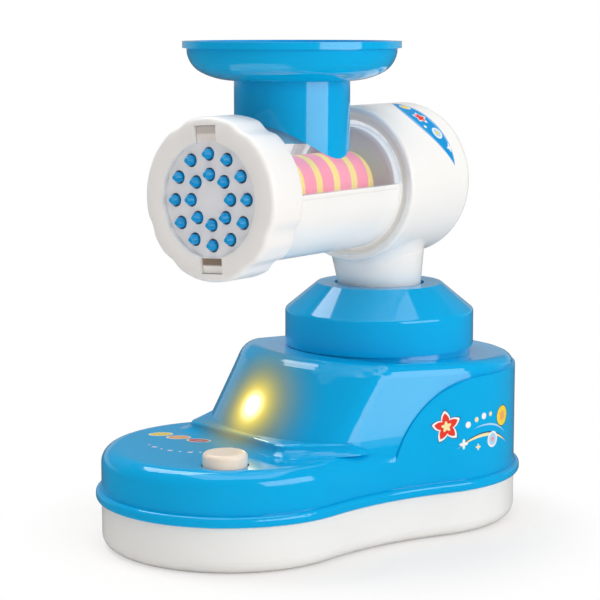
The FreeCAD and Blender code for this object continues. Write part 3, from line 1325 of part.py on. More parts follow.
def make_ring():
    """Ring nut with finger grooves, two front slots and a bayonet groove inside."""
    flange_back = "ring_front - ring_flange"
    skin = turned("ring_skin", [
        ("barrel_radius + running_gap", "ring_rear"),
        ("ring_radius", "ring_rear"),
        ("ring_radius", "ring_front"),
        ("ring_opening", "ring_front"),
        ("ring_opening", flange_back),
        ("barrel_radius + running_gap", flange_back),
    ])
    rounded(skin, "ring_round", ring_edge("ring_radius", "ring_front"))
    rounded(skin, "ring_round / 2", ring_edge("ring_radius", "ring_rear"))
    tools = []
    for index, angle in enumerate(GRIP_ANGLES):
        away = "(ring_radius + grip_radius - grip_depth)"
        tools.append(cylinder("grip_groove_%d" % index, "grip_radius",
                              "ring_front - ring_rear + lug_length * 2",
                              (away + " * sin(%s)" % angle, away + " * cos(%s)" % angle,
                               "ring_rear - lug_length")))
    groove = cut("bayonet_groove", cylinder("bayonet_outer", "barrel_radius + lug_height + running_gap",
                                            "lug_length + running_gap * 4",
                                            ("0", "0", "lug_rear - running_gap * 2")),
                 cylinder("bayonet_inner", "barrel_radius", "lug_length * 3",
                          ("0", "0", "lug_rear - lug_length")))
    tools.append(groove)
    disc = cylinder("entry_disc", "barrel_radius + lug_height + running_gap",
                    "lug_rear - ring_rear + lug_length", ("0", "0", "ring_rear - running_gap"))
    entries = []
    for index, angle in enumerate((-LUG_TILT, 180 + LUG_TILT)):
        slab = box("entry_slab_%d" % index, "drum_radius", "lug_width + running_gap * 8",
                   "lug_rear - ring_rear + lug_length",
                   ("0", "-lug_width / 2 - running_gap * 4", "ring_rear - running_gap"))
        way = common("entry_way_%d" % index, disc, slab)
        entries.append(place(way, turn=Rotation(Vector(0, 0, 1), angle - size("bayonet_turn"))))
    tools.extend(entries)
    slots = []
    for index, sign in enumerate(("", "-")):
        low = "0" if sign == "" else "-slot_radius"
        slots.append(box("ring_slot_%d" % index, "slot_width", "slot_radius", "ring_flange * 3",
                         ("-slot_width / 2", low, flange_back + " - seat_gap / 2")))
    round_slots = common("ring_slots", fuse("ring_slot_pair", *slots),
                         cylinder("slot_limit", "slot_radius", "ring_flange * 4",
                                  ("0", "0", flange_back + " - seat_gap / 2")))
    place(round_slots, turn=Rotation(Vector(0, 0, 1), size("ring_roll")))
    tools.append(round_slots)
    keep_on_axis("ring_nut", cut("ring_nut", skin, *tools))


def peg_places():
    """Twelve places on the outer circle and eight on the inner one, rolled with the ring."""
    places = []
    for count, circle in ((12, "peg_circle_outer"), (8, "peg_circle_inner")):
        for index in range(count):
            angle = "(%g - ring_roll)" % (index * 360 / count)
            places.append(("%s * sin%s" % (circle, angle), "%s * cos%s" % (circle, angle)))
    return places


def make_hole_plate():
    """White plate with twenty holes, and the blue plate whose pegs stand in them."""
    back = "ring_front - ring_flange - seat_gap - hole_plate_thickness"
    disc = cylinder("hole_plate_disc", "barrel_radius - running_gap", "hole_plate_thickness",
                    ("0", "0", back))
    ears = box("hole_plate_ears", "slot_width - 2 * ear_gap", "2 * (slot_radius - ear_gap * 2)",
               "hole_plate_thickness / 2 + seat_gap + ring_flange - ear_sunk",
               ("-slot_width / 2 + ear_gap", "-slot_radius + ear_gap * 2",
                back + " + hole_plate_thickness / 2"))
    middle = cylinder("ear_middle", "ring_opening - ear_gap", "ring_flange * 4",
                      ("0", "0", back + " + hole_plate_thickness"))
    ears_only = cut("hole_plate_ear_pair", ears, middle)
    place(ears_only, turn=Rotation(Vector(0, 0, 1), size("ring_roll")))
    limit = cylinder("ear_limit", "slot_radius - ear_gap", "ring_flange * 4",
                     ("0", "0", back + " + hole_plate_thickness + seat_gap * 1.5"))
    lower = cylinder("ear_root", "barrel_radius - running_gap", "hole_plate_thickness + seat_gap * 2",
                     ("0", "0", back))
    solid = fuse("hole_plate_solid", disc, common("hole_plate_ears_round", ears_only,
                                                  fuse("ear_room", limit, lower)))
    holes = [cylinder("peg_hole_%d" % index, "peg_radius + peg_hole_gap", "hole_plate_thickness * 3",
                      (x, y, back + " - hole_plate_thickness")) for index, (x, y) in enumerate(peg_places())]
    keep_on_axis("hole_plate", cut("hole_plate", solid, *holes))
    top = back + " - seat_gap"
    base = cut("peg_plate_disc", cylinder("peg_disc", "peg_plate_radius", "peg_plate_thickness",
                                          ("0", "0", top + " - peg_plate_thickness")),
               cylinder("peg_disc_bore", "pivot_radius + running_gap", "peg_plate_thickness * 3",
                        ("0", "0", top + " - peg_plate_thickness * 2")))
    length = "hole_plate_thickness + seat_gap + peg_stands_out - peg_tip_height"
    pegs = []
    for index, (x, y) in enumerate(peg_places()):
        pegs.append(cylinder("peg_rod_%d" % index, "peg_radius", length + " + seat_gap",
                             (x, y, top + " - seat_gap")))
        pegs.append(cone("peg_tip_%d" % index, "peg_radius", "peg_radius * peg_tip_share", "peg_tip_height",
                         (x, y, top + " + " + length)))
    keep_on_axis("peg_plate", fuse("peg_plate", base, *pegs))


def make_hopper():
    """Blue hopper: round bowl, chute with a saddle over the barrel, and a spigot in the window."""
    bowl_low = "rim_top - rim_bead - bowl_depth"
    wide = "(bowl_radius - chute_radius)"
    square = "((%s - bowl_side_arc)^2 + bowl_depth^2 - bowl_side_arc^2)" % wide
    floor_arc = "(%s / (2 * (bowl_depth - bowl_side_arc)))" % square
    share = "(1 / (%s - bowl_side_arc))" % floor_arc
    dir_r = "((%s - bowl_side_arc) * %s)" % (wide, share)
    dir_z = "((%s - bowl_depth) * %s)" % (floor_arc, share)
    mid_z = "(rim_top - rim_bead - bowl_depth + %s)" % floor_arc
    joint = ("chute_radius + %s * %s" % (floor_arc, dir_r), "%s - %s * %s" % (mid_z, floor_arc, dir_z))
    inner_arc = "(%s - hopper_wall)" % floor_arc
    inner_joint = ("chute_radius + %s * %s" % (inner_arc, dir_r), "%s - %s * %s" % (mid_z, inner_arc, dir_z))
    bowl = turned("hopper_bowl", [
        ("chute_radius", "barrel_axis"),
        ("chute_radius", bowl_low, floor_arc, 1),
        (*joint, "bowl_side_arc", 1),
        ("bowl_radius", "rim_top - rim_bead"),
        ("rim_radius", "rim_top - rim_bead"),
        ("rim_radius", "rim_top"),
        ("bowl_radius - hopper_wall", "rim_top"),
        ("bowl_radius - hopper_wall", "rim_top - rim_bead", "bowl_side_arc - hopper_wall", -1),
        (*inner_joint, inner_arc, -1),
        ("chute_radius", bowl_low + " + hopper_wall"),
        ("chute_radius - hopper_wall", bowl_low + " + hopper_wall"),
        ("chute_radius - hopper_wall", "barrel_axis"),
    ])
    saddle = cylinder("hopper_saddle", "barrel_radius + saddle_gap", "barrel_front",
                      ("0", "hopper_centre", "barrel_axis"), UP_TO_FRONT)
    upper = cut("hopper_upper", bowl, saddle)
    spigot = turned("hopper_spigot", [
        ("chute_radius - hopper_wall - spigot_gap - spigot_thickness", "spigot_bottom"),
        ("chute_radius - hopper_wall - spigot_gap", "spigot_bottom"),
        ("chute_radius - hopper_wall - spigot_gap", "spigot_land"),
        ("chute_radius - hopper_wall / 2", "spigot_land"),
        ("chute_radius - hopper_wall / 2", "spigot_land + spigot_thickness"),
        ("chute_radius - hopper_wall", "spigot_land + spigot_thickness * 2"),
        ("chute_radius - hopper_wall - spigot_gap - spigot_thickness", "spigot_land + spigot_thickness"),
    ])
    hopper = fuse("hopper", upper, spigot)
    keep("hopper", hopper, HEAD_TURN,
         ("hopper_centre * sin(swivel_angle)", "-hopper_centre * cos(swivel_angle)", "0"))


ROUND_STEPS = 6
POSTS = {"near": ("post_side", "-post_side_front"), "far": ("-post_side", "-post_side_front"),
         "toe": ("0", "-post_toe"), "heel": ("0", "post_heel")}
BOARD_POST_X = "board_post_radius + guide_wall - board_left"
BOARD_POSTS = ((BOARD_POST_X, "board_post_radius + guide_wall - board_toe"),
               (BOARD_POST_X, "-board_post_radius - guide_wall - board_heel"))
DOOR_SCREW_Y = ("-bay_front + contact_thickness * 2 + nub_length + cell_length + contact_coil_length"
                " + door_tongue_length - post_radius")
RETAINER_SCREWS = [("retainer_screw_circle * cos(%g)" % angle, "retainer_screw_circle * sin(%g)" % angle)
                   for angle in (90, 210, 330)]
CENTRE_DISTANCE = "(gear_module * (pinion_teeth + wheel_teeth) / 2)"
IDLER_AT = ("sqrt(%s^2 - motor_drop^2 / 4)" % CENTRE_DISTANCE, "-motor_drop / 2")
MOTOR_POSTS = (("-motor_screw_out", "motor_screw_high - motor_drop"),
               ("-motor_screw_out", "-motor_screw_low - motor_drop"))
GRIP_ANGLES = [sign + "grip_angle_" + spot for spot in ("top", "side", "low") for sign in ("", "-")]
LUG_TILT = math.degrees(math.asin((size("lug_width") / 2 + size("split_above_axis")) / size("barrel_radius")))

make_base_shell()
make_base_tray()
make_battery_door()
make_base_screws()
make_cells()
make_board()
make_button()
make_lamp()
make_swivel()
make_motor_housing()
make_barrel()
make_window()
make_auger()
make_gears()
make_motor()
make_ring()
make_hole_plate()
make_hopper()
doc.recompute()

failed = [item.Name for item in doc.Objects if "Invalid" in item.State or "Error" in item.State]
assert not failed, "objects that failed: %s" % failed
for solid in sub_parts:
    assert not solid.Shape.isNull() and solid.Shape.isValid(), "bad shape: " + solid.Label

os.makedirs("parts", exist_ok=True)
for solid in sub_parts:
    solid.Shape.exportStep("parts/%s.step" % solid.Label)
    print(solid.Label, len(solid.Shape.Solids), "solids", round(solid.Shape.Volume), "mm3")
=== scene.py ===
import bmesh
import bpy
import math
from mathutils import Matrix, Vector


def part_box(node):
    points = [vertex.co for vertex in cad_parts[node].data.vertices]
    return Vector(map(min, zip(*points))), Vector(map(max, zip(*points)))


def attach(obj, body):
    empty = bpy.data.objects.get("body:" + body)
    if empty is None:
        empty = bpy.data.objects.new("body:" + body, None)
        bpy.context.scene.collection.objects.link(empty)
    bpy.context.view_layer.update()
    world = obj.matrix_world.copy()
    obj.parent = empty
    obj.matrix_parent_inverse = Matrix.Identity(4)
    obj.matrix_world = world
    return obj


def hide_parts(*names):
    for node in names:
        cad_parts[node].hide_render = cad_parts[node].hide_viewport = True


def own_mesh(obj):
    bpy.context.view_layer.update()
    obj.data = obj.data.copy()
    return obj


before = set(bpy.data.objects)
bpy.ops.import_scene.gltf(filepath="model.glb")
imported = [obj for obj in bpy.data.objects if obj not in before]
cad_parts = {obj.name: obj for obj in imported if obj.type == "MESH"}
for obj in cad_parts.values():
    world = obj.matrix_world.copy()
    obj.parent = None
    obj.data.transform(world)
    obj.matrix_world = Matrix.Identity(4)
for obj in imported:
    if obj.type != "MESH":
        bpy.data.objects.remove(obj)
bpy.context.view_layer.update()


# The photographer's lens and stand: a long lens looking slightly down at the toe and the
# near side of the toy. The lens suits a frame of 600 by 600.
camera = bpy.data.objects.new("camera", bpy.data.cameras.new("camera"))
camera.data.lens = 116.6
camera.data.sensor_width = 36
camera.data.clip_start = 0.02
camera.location = (0.46376, -0.39409, 0.15653)
camera.rotation_euler = (math.radians(90 - 8.25), 0, math.radians(52))
bpy.context.scene.collection.objects.link(camera)
bpy.context.scene.camera = camera
bpy.context.scene.view_settings.view_transform = "Standard"


class Shade:
    """A socket of a shader, with the sums that a material needs written as plain sums."""

    def __init__(self, kit, socket):
        self.kit = kit
        self.socket = socket

    def __add__(self, other):
        return self.kit.maths("ADD", self, other)

    def __radd__(self, other):
        return self.kit.maths("ADD", other, self)

    def __sub__(self, other):
        return self.kit.maths("SUBTRACT", self, other)

    def __rsub__(self, other):
        return self.kit.maths("SUBTRACT", other, self)

    def __mul__(self, other):
        return self.kit.maths("MULTIPLY", self, other)

    def __rmul__(self, other):
        return self.kit.maths("MULTIPLY", other, self)

    def __truediv__(self, other):
        return self.kit.maths("DIVIDE", self, other)

    def __rtruediv__(self, other):
        return self.kit.maths("DIVIDE", other, self)

    def __pow__(self, other):
        return self.kit.maths("POWER", self, other)

    def __rpow__(self, other):
        return self.kit.maths("POWER", other, self)

    def __lt__(self, other):
        return self.kit.maths("LESS_THAN", self, other)

    def __gt__(self, other):
        return self.kit.maths("GREATER_THAN", self, other)


class Finish:
    """One material and its nodes."""

    def __init__(self, name, color, roughness, **sockets):
        self.material = bpy.data.materials.new(name)
        self.material.use_nodes = True
        self.material.diffuse_color = (*color[:3], 1)
        self.tree = self.material.node_tree
        self.shader = self.tree.nodes["Principled BSDF"]
        self.set("Base Color", (*color[:3], 1))
        self.set("Roughness", roughness)
        for socket, value in sockets.items():
            self.set(socket.replace("_", " "), value)

    def set(self, socket, value):
        """A number or colour on the shader's own socket, or a link to it."""
        if isinstance(value, Shade):
            self.tree.links.new(value.socket, self.shader.inputs[socket])
        else:
            self.shader.inputs[socket].default_value = value

    def node(self, kind, settings=None, *values, **named):
        """Any node: its settings first, then the values or links of its sockets."""
        made = self.tree.nodes.new(kind)
        for setting, value in (settings or {}).items():
            setattr(made, setting, value)
        for place, value in [*enumerate(values), *named.items()]:
            socket = made.inputs[place.replace("_", " ") if isinstance(place, str) else place]
            if isinstance(value, Shade):
                self.tree.links.new(value.socket, socket)
            elif value is not None:
                socket.default_value = value
        return [Shade(self, socket) for socket in made.outputs]

    def maths(self, operation, *values):
        return self.node("ShaderNodeMath", {"operation": operation}, *values)[0]

    def place(self):
        """Object coordinates in metres."""
        return self.node("ShaderNodeTexCoord")[3]

    def axes(self):
        return self.node("ShaderNodeSeparateXYZ", None, self.place())[:3]

    def away_from(self, point):
        """Distance from a point in metres."""
        return self.node("ShaderNodeVectorMath", {"operation": "DISTANCE"}, self.place(), tuple(point))[1]

    def noise(self, scale, detail):
        return self.node("ShaderNodeTexNoise", None, Vector=self.place(), Scale=scale, Detail=detail)[0]

    def spread(self, value, low, high, out_low=0.0, out_high=1.0, soft="LINEAR"):
        return self.node("ShaderNodeMapRange", {"interpolation_type": soft}, value, low, high,
                         out_low, out_high)[0]

    def mix(self, share, first, second):
        """A colour between two colours."""
        first = first if isinstance(first, Shade) else (*first[:3], 1)
        second = second if isinstance(second, Shade) else (*second[:3], 1)
        return self.node("ShaderNodeMix", {"data_type": "RGBA"}, share, None, None, None, None, None,
                         first, second)[2]

    def bump(self, height, distance):
        self.set("Normal", self.node("ShaderNodeBump", None, Strength=1.0, Distance=distance,
                                     Height=height)[0])

    def on(self, *names):
        """Give the finish to carried-over nodes or new pieces."""
        for name in names:
            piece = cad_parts.get(name) or bpy.data.objects[name]
            piece.data.materials.clear()
            piece.data.materials.append(self.material)


# The photo table is white paper that keeps the toy's soft shadow and burns out to white further
# away. A white sheet behind it also shows in gloss and in clear plastic.
WHITE_LIGHT = (1, 1, 1, 1)
TOY_MIDDLE = -0.026
TABLE_RADIUS = 4.0
SHEET_HEIGHT = 3.0
paper = Finish("paper", (0.92, 0.89, 0.86), 0.95, Specular_IOR_Level=0.0)
light_path = paper.node("ShaderNodeLightPath")
seen = paper.maths("MAXIMUM", light_path[0], paper.maths("MAXIMUM", light_path[3], light_path[6]))
side, ahead, _ = paper.axes()
from_middle = ahead - TOY_MIDDLE
from_toy = (side * side + from_middle * from_middle) ** 0.5
burnt_out = paper.spread(from_toy, 0.05, 0.10, 0.35, 1.0, "SMOOTHSTEP")
glow = paper.node("ShaderNodeEmission", None, WHITE_LIGHT, 1.0)[0]
sheet = paper.node("ShaderNodeMixShader", None, seen * burnt_out,
                   Shade(paper, paper.shader.outputs[0]), glow)[0]
paper.tree.links.new(sheet.socket, paper.tree.nodes["Material Output"].inputs[0])

backdrop = Finish("backdrop", (1, 1, 1), 0.95)
light_path = backdrop.node("ShaderNodeLightPath")
side, ahead, height = backdrop.axes()
away_from_camera = ahead * math.sin(math.radians(38)) - side * math.cos(math.radians(38))
behind_toy = backdrop.spread(away_from_camera, 1.2, 2.4)
in_gloss = light_path[3] * backdrop.spread(height, 0.62, 0.88, 0.34, 0.10)
seen_past_toy = behind_toy * backdrop.maths("MAXIMUM", in_gloss, light_path[6])
seen = backdrop.maths("MAXIMUM", light_path[0], seen_past_toy)
glow = backdrop.node("ShaderNodeEmission", None, WHITE_LIGHT, 1.0)[0]
clear_air = backdrop.node("ShaderNodeBsdfTransparent")[0]
sheet = backdrop.node("ShaderNodeMixShader", None, seen, clear_air, glow)[0]
backdrop.tree.links.new(sheet.socket, backdrop.tree.nodes["Material Output"].inputs[0])


def new_piece(name, shape, smooth_below=None):
    """The object of a finished bmesh, smooth where its faces meet at less than an angle in degrees."""
    mesh = bpy.data.meshes.new(name)
    for face in shape.faces:
        face.smooth = smooth_below is not None
    shape.to_mesh(mesh)
    shape.free()
    if smooth_below:
        mesh.set_sharp_from_angle(angle=math.radians(smooth_below))
    piece = bpy.data.objects.new(name, mesh)
    bpy.context.scene.collection.objects.link(piece)
    return piece


table = bmesh.new()
bmesh.ops.create_circle(table, cap_ends=True, segments=64, radius=TABLE_RADIUS)
floor = new_piece("floor", table)
floor.visible_glossy = False
paper.on("floor")
wall = bmesh.new()
bmesh.ops.create_cone(wall, cap_ends=False, segments=64, radius1=TABLE_RADIUS, radius2=TABLE_RADIUS,
                      depth=SHEET_HEIGHT)
bmesh.ops.translate(wall, verts=wall.verts, vec=(0, 0, SHEET_HEIGHT / 2))
new_piece("backdrop_sheet", wall)
backdrop.on("backdrop_sheet")


# The studio has white walls, which light the toy softly from all round and show only a little in
# its gloss, and three softboxes: one on the near side, one on the far side and one overhead.
ROOM_LIGHT = 0.44
ROOM_IN_GLOSS = 0.10
world = bpy.data.worlds.new("studio")
bpy.context.scene.world = world
world.use_nodes = True
room = world.node_tree.nodes["Background"]
room.inputs["Color"].default_value = (1.0, 0.99, 0.98, 1)
glossy = world.node_tree.nodes.new("ShaderNodeLightPath").outputs["Is Glossy Ray"]
strength = world.node_tree.nodes.new("ShaderNodeMapRange")
strength.inputs["To Min"].default_value = ROOM_LIGHT
strength.inputs["To Max"].default_value = ROOM_IN_GLOSS
world.node_tree.links.new(glossy, strength.inputs["Value"])
world.node_tree.links.new(strength.outputs["Result"], room.inputs["Strength"])


def softbox(name, azimuth, elevation, distance, width, height, power):
    """A flat studio light that looks at the toy. Azimuth 0 is the toe's side, 90 the near side."""
    light = bpy.data.lights.new(name, "AREA")
    light.shape = "RECTANGLE"
    light.size = width
    light.size_y = height
    light.energy = power
    lamp = bpy.data.objects.new(name, light)
    turn = math.radians(azimuth)
    rise = math.radians(elevation)
    reach = Vector((math.sin(turn) * math.cos(rise), -math.cos(turn) * math.cos(rise), math.sin(rise)))
    lamp.location = Vector((0, -0.025, 0.07)) + reach * distance
    lamp.rotation_euler = reach.to_track_quat("Z", "Y").to_euler()
    bpy.context.scene.collection.objects.link(lamp)


softbox("key", 103, 14, 1.0, 0.88, 0.56, 4.5)
softbox("fill", -70, 58, 0.8, 0.42, 0.4, 2.2)
softbox("top", 60, 82, 0.9, 0.9, 0.9, 3.8)


# The tray is the white foot of the shoe-shaped base, and the battery door lies flush in its floor.
# Both are moulded in polypropylene, slightly milky with a soft sheen. The door has ribs for a thumb.
MM = 0.001


def moulded(name, color, roughness, orange_peel=0.02 * MM, tint=0.04, **sockets):
    """Injection-moulded plastic: faint flow marks in colour and gloss, and a very shallow waviness."""
    plastic = Finish(name, color, roughness, **sockets)
    flow = plastic.noise(45, 3)
    darker = [part * (1 - tint) for part in color[:3]]
    lighter = [min(1, part * (1 + tint)) for part in color[:3]]
    plastic.color = plastic.mix(flow, darker, lighter)
    plastic.set("Base Color", plastic.color)
    plastic.set("Roughness", plastic.spread(plastic.noise(120, 2), 0.2, 0.8, roughness * 0.92,
                                            roughness * 1.08))
    plastic.height = plastic.noise(260, 2) * orange_peel
    plastic.bump(plastic.height, 1.0)
    return plastic


tray_white = moulded("tray_white", (0.88, 0.88, 0.865), 0.30, orange_peel=0.003 * MM, tint=0.012, IOR=1.49)
tray_white.on("base_tray")
door_white = moulded("door_white", (0.88, 0.88, 0.865), 0.34, orange_peel=0.003 * MM, tint=0.012)
side, ahead, _ = door_white.axes()
RIB_PITCH = 1.6 * MM
RIB_HEIGHT = 0.2 * MM
thumb_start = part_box("battery_door")[1].y - 16 * MM
thumb_end = thumb_start + 8 * MM
ribs = door_white.maths("SINE", ahead * (math.tau / RIB_PITCH))
thumb_place = door_white.spread(ahead, thumb_start, thumb_start + 0.5 * MM)
thumb_place = thumb_place * door_white.spread(ahead, thumb_end, thumb_end + 0.5 * MM, 1, 0)
thumb_place = thumb_place * door_white.spread(door_white.maths("ABSOLUTE", side), 6 * MM, 6.5 * MM, 1, 0)
door_white.bump(door_white.height + ribs * thumb_place * RIB_HEIGHT, 1.0)
door_white.on("battery_door")


# The shell on the tray is glossy blue: skirt with a bead, toe deck, step, tower and heel. It is
# pad-printed with plain coloured marks. The lamp's light on its slope is painted into the shell as a
# warm glow. The shading leans the tower's sides in a little above the heel, as the draft of a mould does.
BLUE = (0.0, 0.41, 0.80)
INK = {"yellow": (0.95, 0.72, 0.05), "red": (0.80, 0.05, 0.03), "white": (0.9, 0.9, 0.88),
       "pale blue": (0.42, 0.68, 0.90), "orange": (0.93, 0.42, 0.14), "cream": (0.93, 0.80, 0.42),
       "dark": (0.02, 0.08, 0.20), "pink": (0.85, 0.35, 0.40), "blue": (0.0, 0.30, 0.70)}
PRINT_EDGE = 0.07 * MM


def oval(kit, across, up, middle, radii, turn=0.0):
    """How much of a point an oval covers: 1 inside, 0 outside. Places and sizes are in millimetres."""
    lean = math.radians(turn)
    right = across - middle[0] * MM
    above = up - middle[1] * MM
    along = (right * math.cos(lean) + above * math.sin(lean)) / (radii[0] * MM)
    over = (above * math.cos(lean) - right * math.sin(lean)) / (radii[1] * MM)
    soft = PRINT_EDGE / (min(radii) * MM)
    return kit.spread((along * along + over * over) ** 0.5, 1 - soft, 1 + soft, 1, 0)


def star(kit, across, up, middle, radius, points, waist, turn=0.0):
    """How much of a point a star covers, with its first tip up."""
    right = across - middle[0] * MM
    above = up - middle[1] * MM
    reach = (right * right + above * above) ** 0.5
    share = (kit.maths("ARCTAN2", right, above) + math.radians(turn)) * (points / math.tau)
    fold = kit.maths("PINGPONG", share, 0.5) * 2
    return kit.spread(reach - (radius * MM) * (1 - (1 - waist) * fold), -PRINT_EDGE, PRINT_EDGE, 1, 0)


def stroke(kit, across, up, middle, radius, width, start, end):
    """A brush stroke along a circle, pointed at both ends. Degrees run clockwise from the top."""
    right = across - middle[0] * MM
    above = up - middle[1] * MM
    reach = (right * right + above * above) ** 0.5
    share = kit.spread(kit.maths("ARCTAN2", right, above), math.radians(start), math.radians(end))
    thick = kit.maths("SINE", share * math.pi) * (width / 2 * MM)
    return kit.spread(kit.maths("ABSOLUTE", reach - radius * MM) - thick, -2 * PRINT_EDGE, 0, 1, 0)


shell_blue = moulded("shell_blue", BLUE, 0.09, orange_peel=0.008 * MM, tint=0.03, Coat_Weight=0.2,
                     Coat_Roughness=0.03)
side, ahead, height = shell_blue.axes()
print_color = shell_blue.color
DECK_HEIGHT = 29.0
OVAL_RADII = (3.3, 2.0)
RIM_RADII = (3.85, 2.55)
DECK_DOTS = 11
deck = shell_blue.spread(height, (DECK_HEIGHT - 0.1) * MM, (DECK_HEIGHT + 0.1) * MM)
for middle, turn, ink in (((-24.6, -66.9), 62, "yellow"), ((-17.5, -65.2), 48, "orange"),
                          ((-10.0, -62.9), 34, "red")):
    rim = oval(shell_blue, side, ahead, middle, RIM_RADII, turn)
    print_color = shell_blue.mix(rim * deck, print_color, INK["white"])
    print_color = shell_blue.mix(oval(shell_blue, side, ahead, middle, OVAL_RADII, turn) * deck,
                                 print_color, INK[ink])
    shine = oval(shell_blue, side, ahead, middle, (1.5, 0.35), turn)
    print_color = shell_blue.mix(shine * deck * 0.6, print_color, INK["cream"])
for step in range(DECK_DOTS):
    angle = math.radians(196 - step * 13)
    middle = (-10.0 + 15.5 * math.sin(angle), -66.0 + 12.5 * math.cos(angle))
    if step % 2:
        spot = star(shell_blue, side, ahead, middle, 1.125, 4, 0.4)
    else:
        spot = oval(shell_blue, side, ahead, middle, (0.45, 0.45))
    print_color = shell_blue.mix(spot * deck * 0.85, print_color, INK["white"])

heel = shell_blue.spread(side, 20 * MM, 21 * MM)
heel_art = (
    (stroke(shell_blue, ahead, height, (9.0, 10.4), 20.2, 1.5, -34, 40), "dark"),
    (stroke(shell_blue, ahead, height, (9.0, 10.2), 20.2, 1.1, -34, 40), "cream"),
    (stroke(shell_blue, ahead, height, (9.4, 16.9), 16.6, 0.7, -20, 44), "pale blue"),
    (star(shell_blue, ahead, height, (-5.6, 34.6), 5.5, 5, 0.52, 8), "dark"),
    (star(shell_blue, ahead, height, (-5.6, 34.6), 5.1, 5, 0.52, 8), "white"),
    (star(shell_blue, ahead, height, (-5.6, 34.6), 4.2, 5, 0.50, 8), "red"),
    (star(shell_blue, ahead, height, (-5.6, 34.6), 1.8, 5, 0.50, 8), "cream"),
    (oval(shell_blue, ahead, height, (18.6, 34.9), (3.4, 3.4)), "dark"),
    (oval(shell_blue, ahead, height, (18.6, 34.9), (3.1, 3.1)), "yellow"),
    (star(shell_blue, ahead, height, (18.6, 34.9), 2.0, 6, 0.55), "orange"),
    (oval(shell_blue, ahead, height, (13.2, 28.4), (2.5, 2.5)), "white"),
    (oval(shell_blue, ahead, height, (13.2, 28.4), (1.9, 1.9)), "pale blue"),
    (oval(shell_blue, ahead, height, (13.2, 28.4), (0.8, 0.8)), "pink"),
    (oval(shell_blue, ahead, height, (2.2, 34.4), (1.0, 1.0)), "white"),
    (oval(shell_blue, ahead, height, (5.6, 35.6), (0.8, 0.8)), "cream"),
    (oval(shell_blue, ahead, height, (8.8, 36.3), (1.0, 1.0)), "white"),
    (oval(shell_blue, ahead, height, (12.0, 36.5), (0.7, 0.7)), "cream"),
    (star(shell_blue, ahead, height, (0.6, 28.6), 1.7, 4, 0.35), "white"),
    (star(shell_blue, ahead, height, (6.4, 27.0), 1.1, 4, 0.35), "cream"),
)
for cover, ink in heel_art:
    print_color = shell_blue.mix(cover * heel, print_color, INK[ink])
lamp_low, lamp_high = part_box("led_lamp")
lamp_middle = (lamp_low + lamp_high) / 2 + Vector((0, -2.2, 0.8)) * MM
# Painted light: round the lamp the shell's colour is dimmed and a warm glow is painted on, whitest close
# to the lamp.
LAMPLIGHT = (1.0, 0.72, 0.10)
from_lamp = shell_blue.away_from(lamp_middle)
painted_lamplight_share = shell_blue.spread(from_lamp, 2 * MM, 27 * MM, 0.95, 0, "SMOOTHSTEP")
shell_blue.set("Base Color", shell_blue.mix(painted_lamplight_share, print_color, (0.10, 0.15, 0.02)))
lit = (math.e ** (from_lamp * (-1 / (4.2 * MM)))) * shell_blue.spread(from_lamp, 16 * MM, 26 * MM, 1, 0)
hot = shell_blue.spread(from_lamp, 2 * MM, 6.5 * MM, 1, 0, "SMOOTHSTEP")
lamplight = shell_blue.mix(hot, LAMPLIGHT, (1.0, 0.92, 0.55))
shell_blue.set("Emission Color", shell_blue.mix(lit, (0, 0, 0), lamplight))
shell_blue.set("Emission Strength", 3.3)
normal = shell_blue.node("ShaderNodeNewGeometry")[1]
facing_side, _, facing_up = shell_blue.node("ShaderNodeSeparateXYZ", None, normal)
HEEL_ARC_MIDDLE = (8.0, 15.7)
HEEL_ARC_RADIUS = 33.2
TOWER_FOOT = 30.6
LEAN = 0.13
across_heel = ahead - HEEL_ARC_MIDDLE[0] * MM
above_heel = height - HEEL_ARC_MIDDLE[1] * MM
from_heel = (across_heel * across_heel + above_heel * above_heel) ** 0.5
drafted = shell_blue.spread(from_heel, (HEEL_ARC_RADIUS - 0.1) * MM, (HEEL_ARC_RADIUS + 0.1) * MM)
drafted = drafted * shell_blue.spread(height, (TOWER_FOOT - 0.2) * MM, (TOWER_FOOT + 0.2) * MM)
drafted = drafted * shell_blue.spread(shell_blue.maths("ABSOLUTE", facing_side), 0.85, 0.97)
drafted = drafted * shell_blue.spread(facing_up, 0.1, 0.3, 1, 0)
leant = shell_blue.node("ShaderNodeVectorMath", {"operation": "MULTIPLY_ADD"}, drafted, (0, 0, LEAN),
                        normal)[0]
even = shell_blue.node("ShaderNodeVectorMath", {"operation": "NORMALIZE"}, leant)[0]
shell_blue.set("Normal", shell_blue.node("ShaderNodeBump", None, Strength=1.0, Distance=1.0,
                                         Height=shell_blue.height, Normal=even)[0])
shell_blue.on("base_shell")


# The push button stands in its guide on the deck: a cream cap, rounded over its rim, with a flange
# inside that a coil spring presses up.
button_cream = moulded("button_cream", (0.90, 0.77, 0.64), 0.28, orange_peel=0.01 * MM)
button_cream.on("push_button")
coil = bmesh.new()
coil.from_mesh(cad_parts["button_spring"].data)
bmesh.ops.remove_doubles(coil, verts=coil.verts, dist=0.001 * MM)
bmesh.ops.recalc_face_normals(coil, faces=coil.faces)
pressed_spring = new_piece("pressed_spring", coil, 40)
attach(pressed_spring, "base")
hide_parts("button_spring")
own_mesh(pressed_spring)


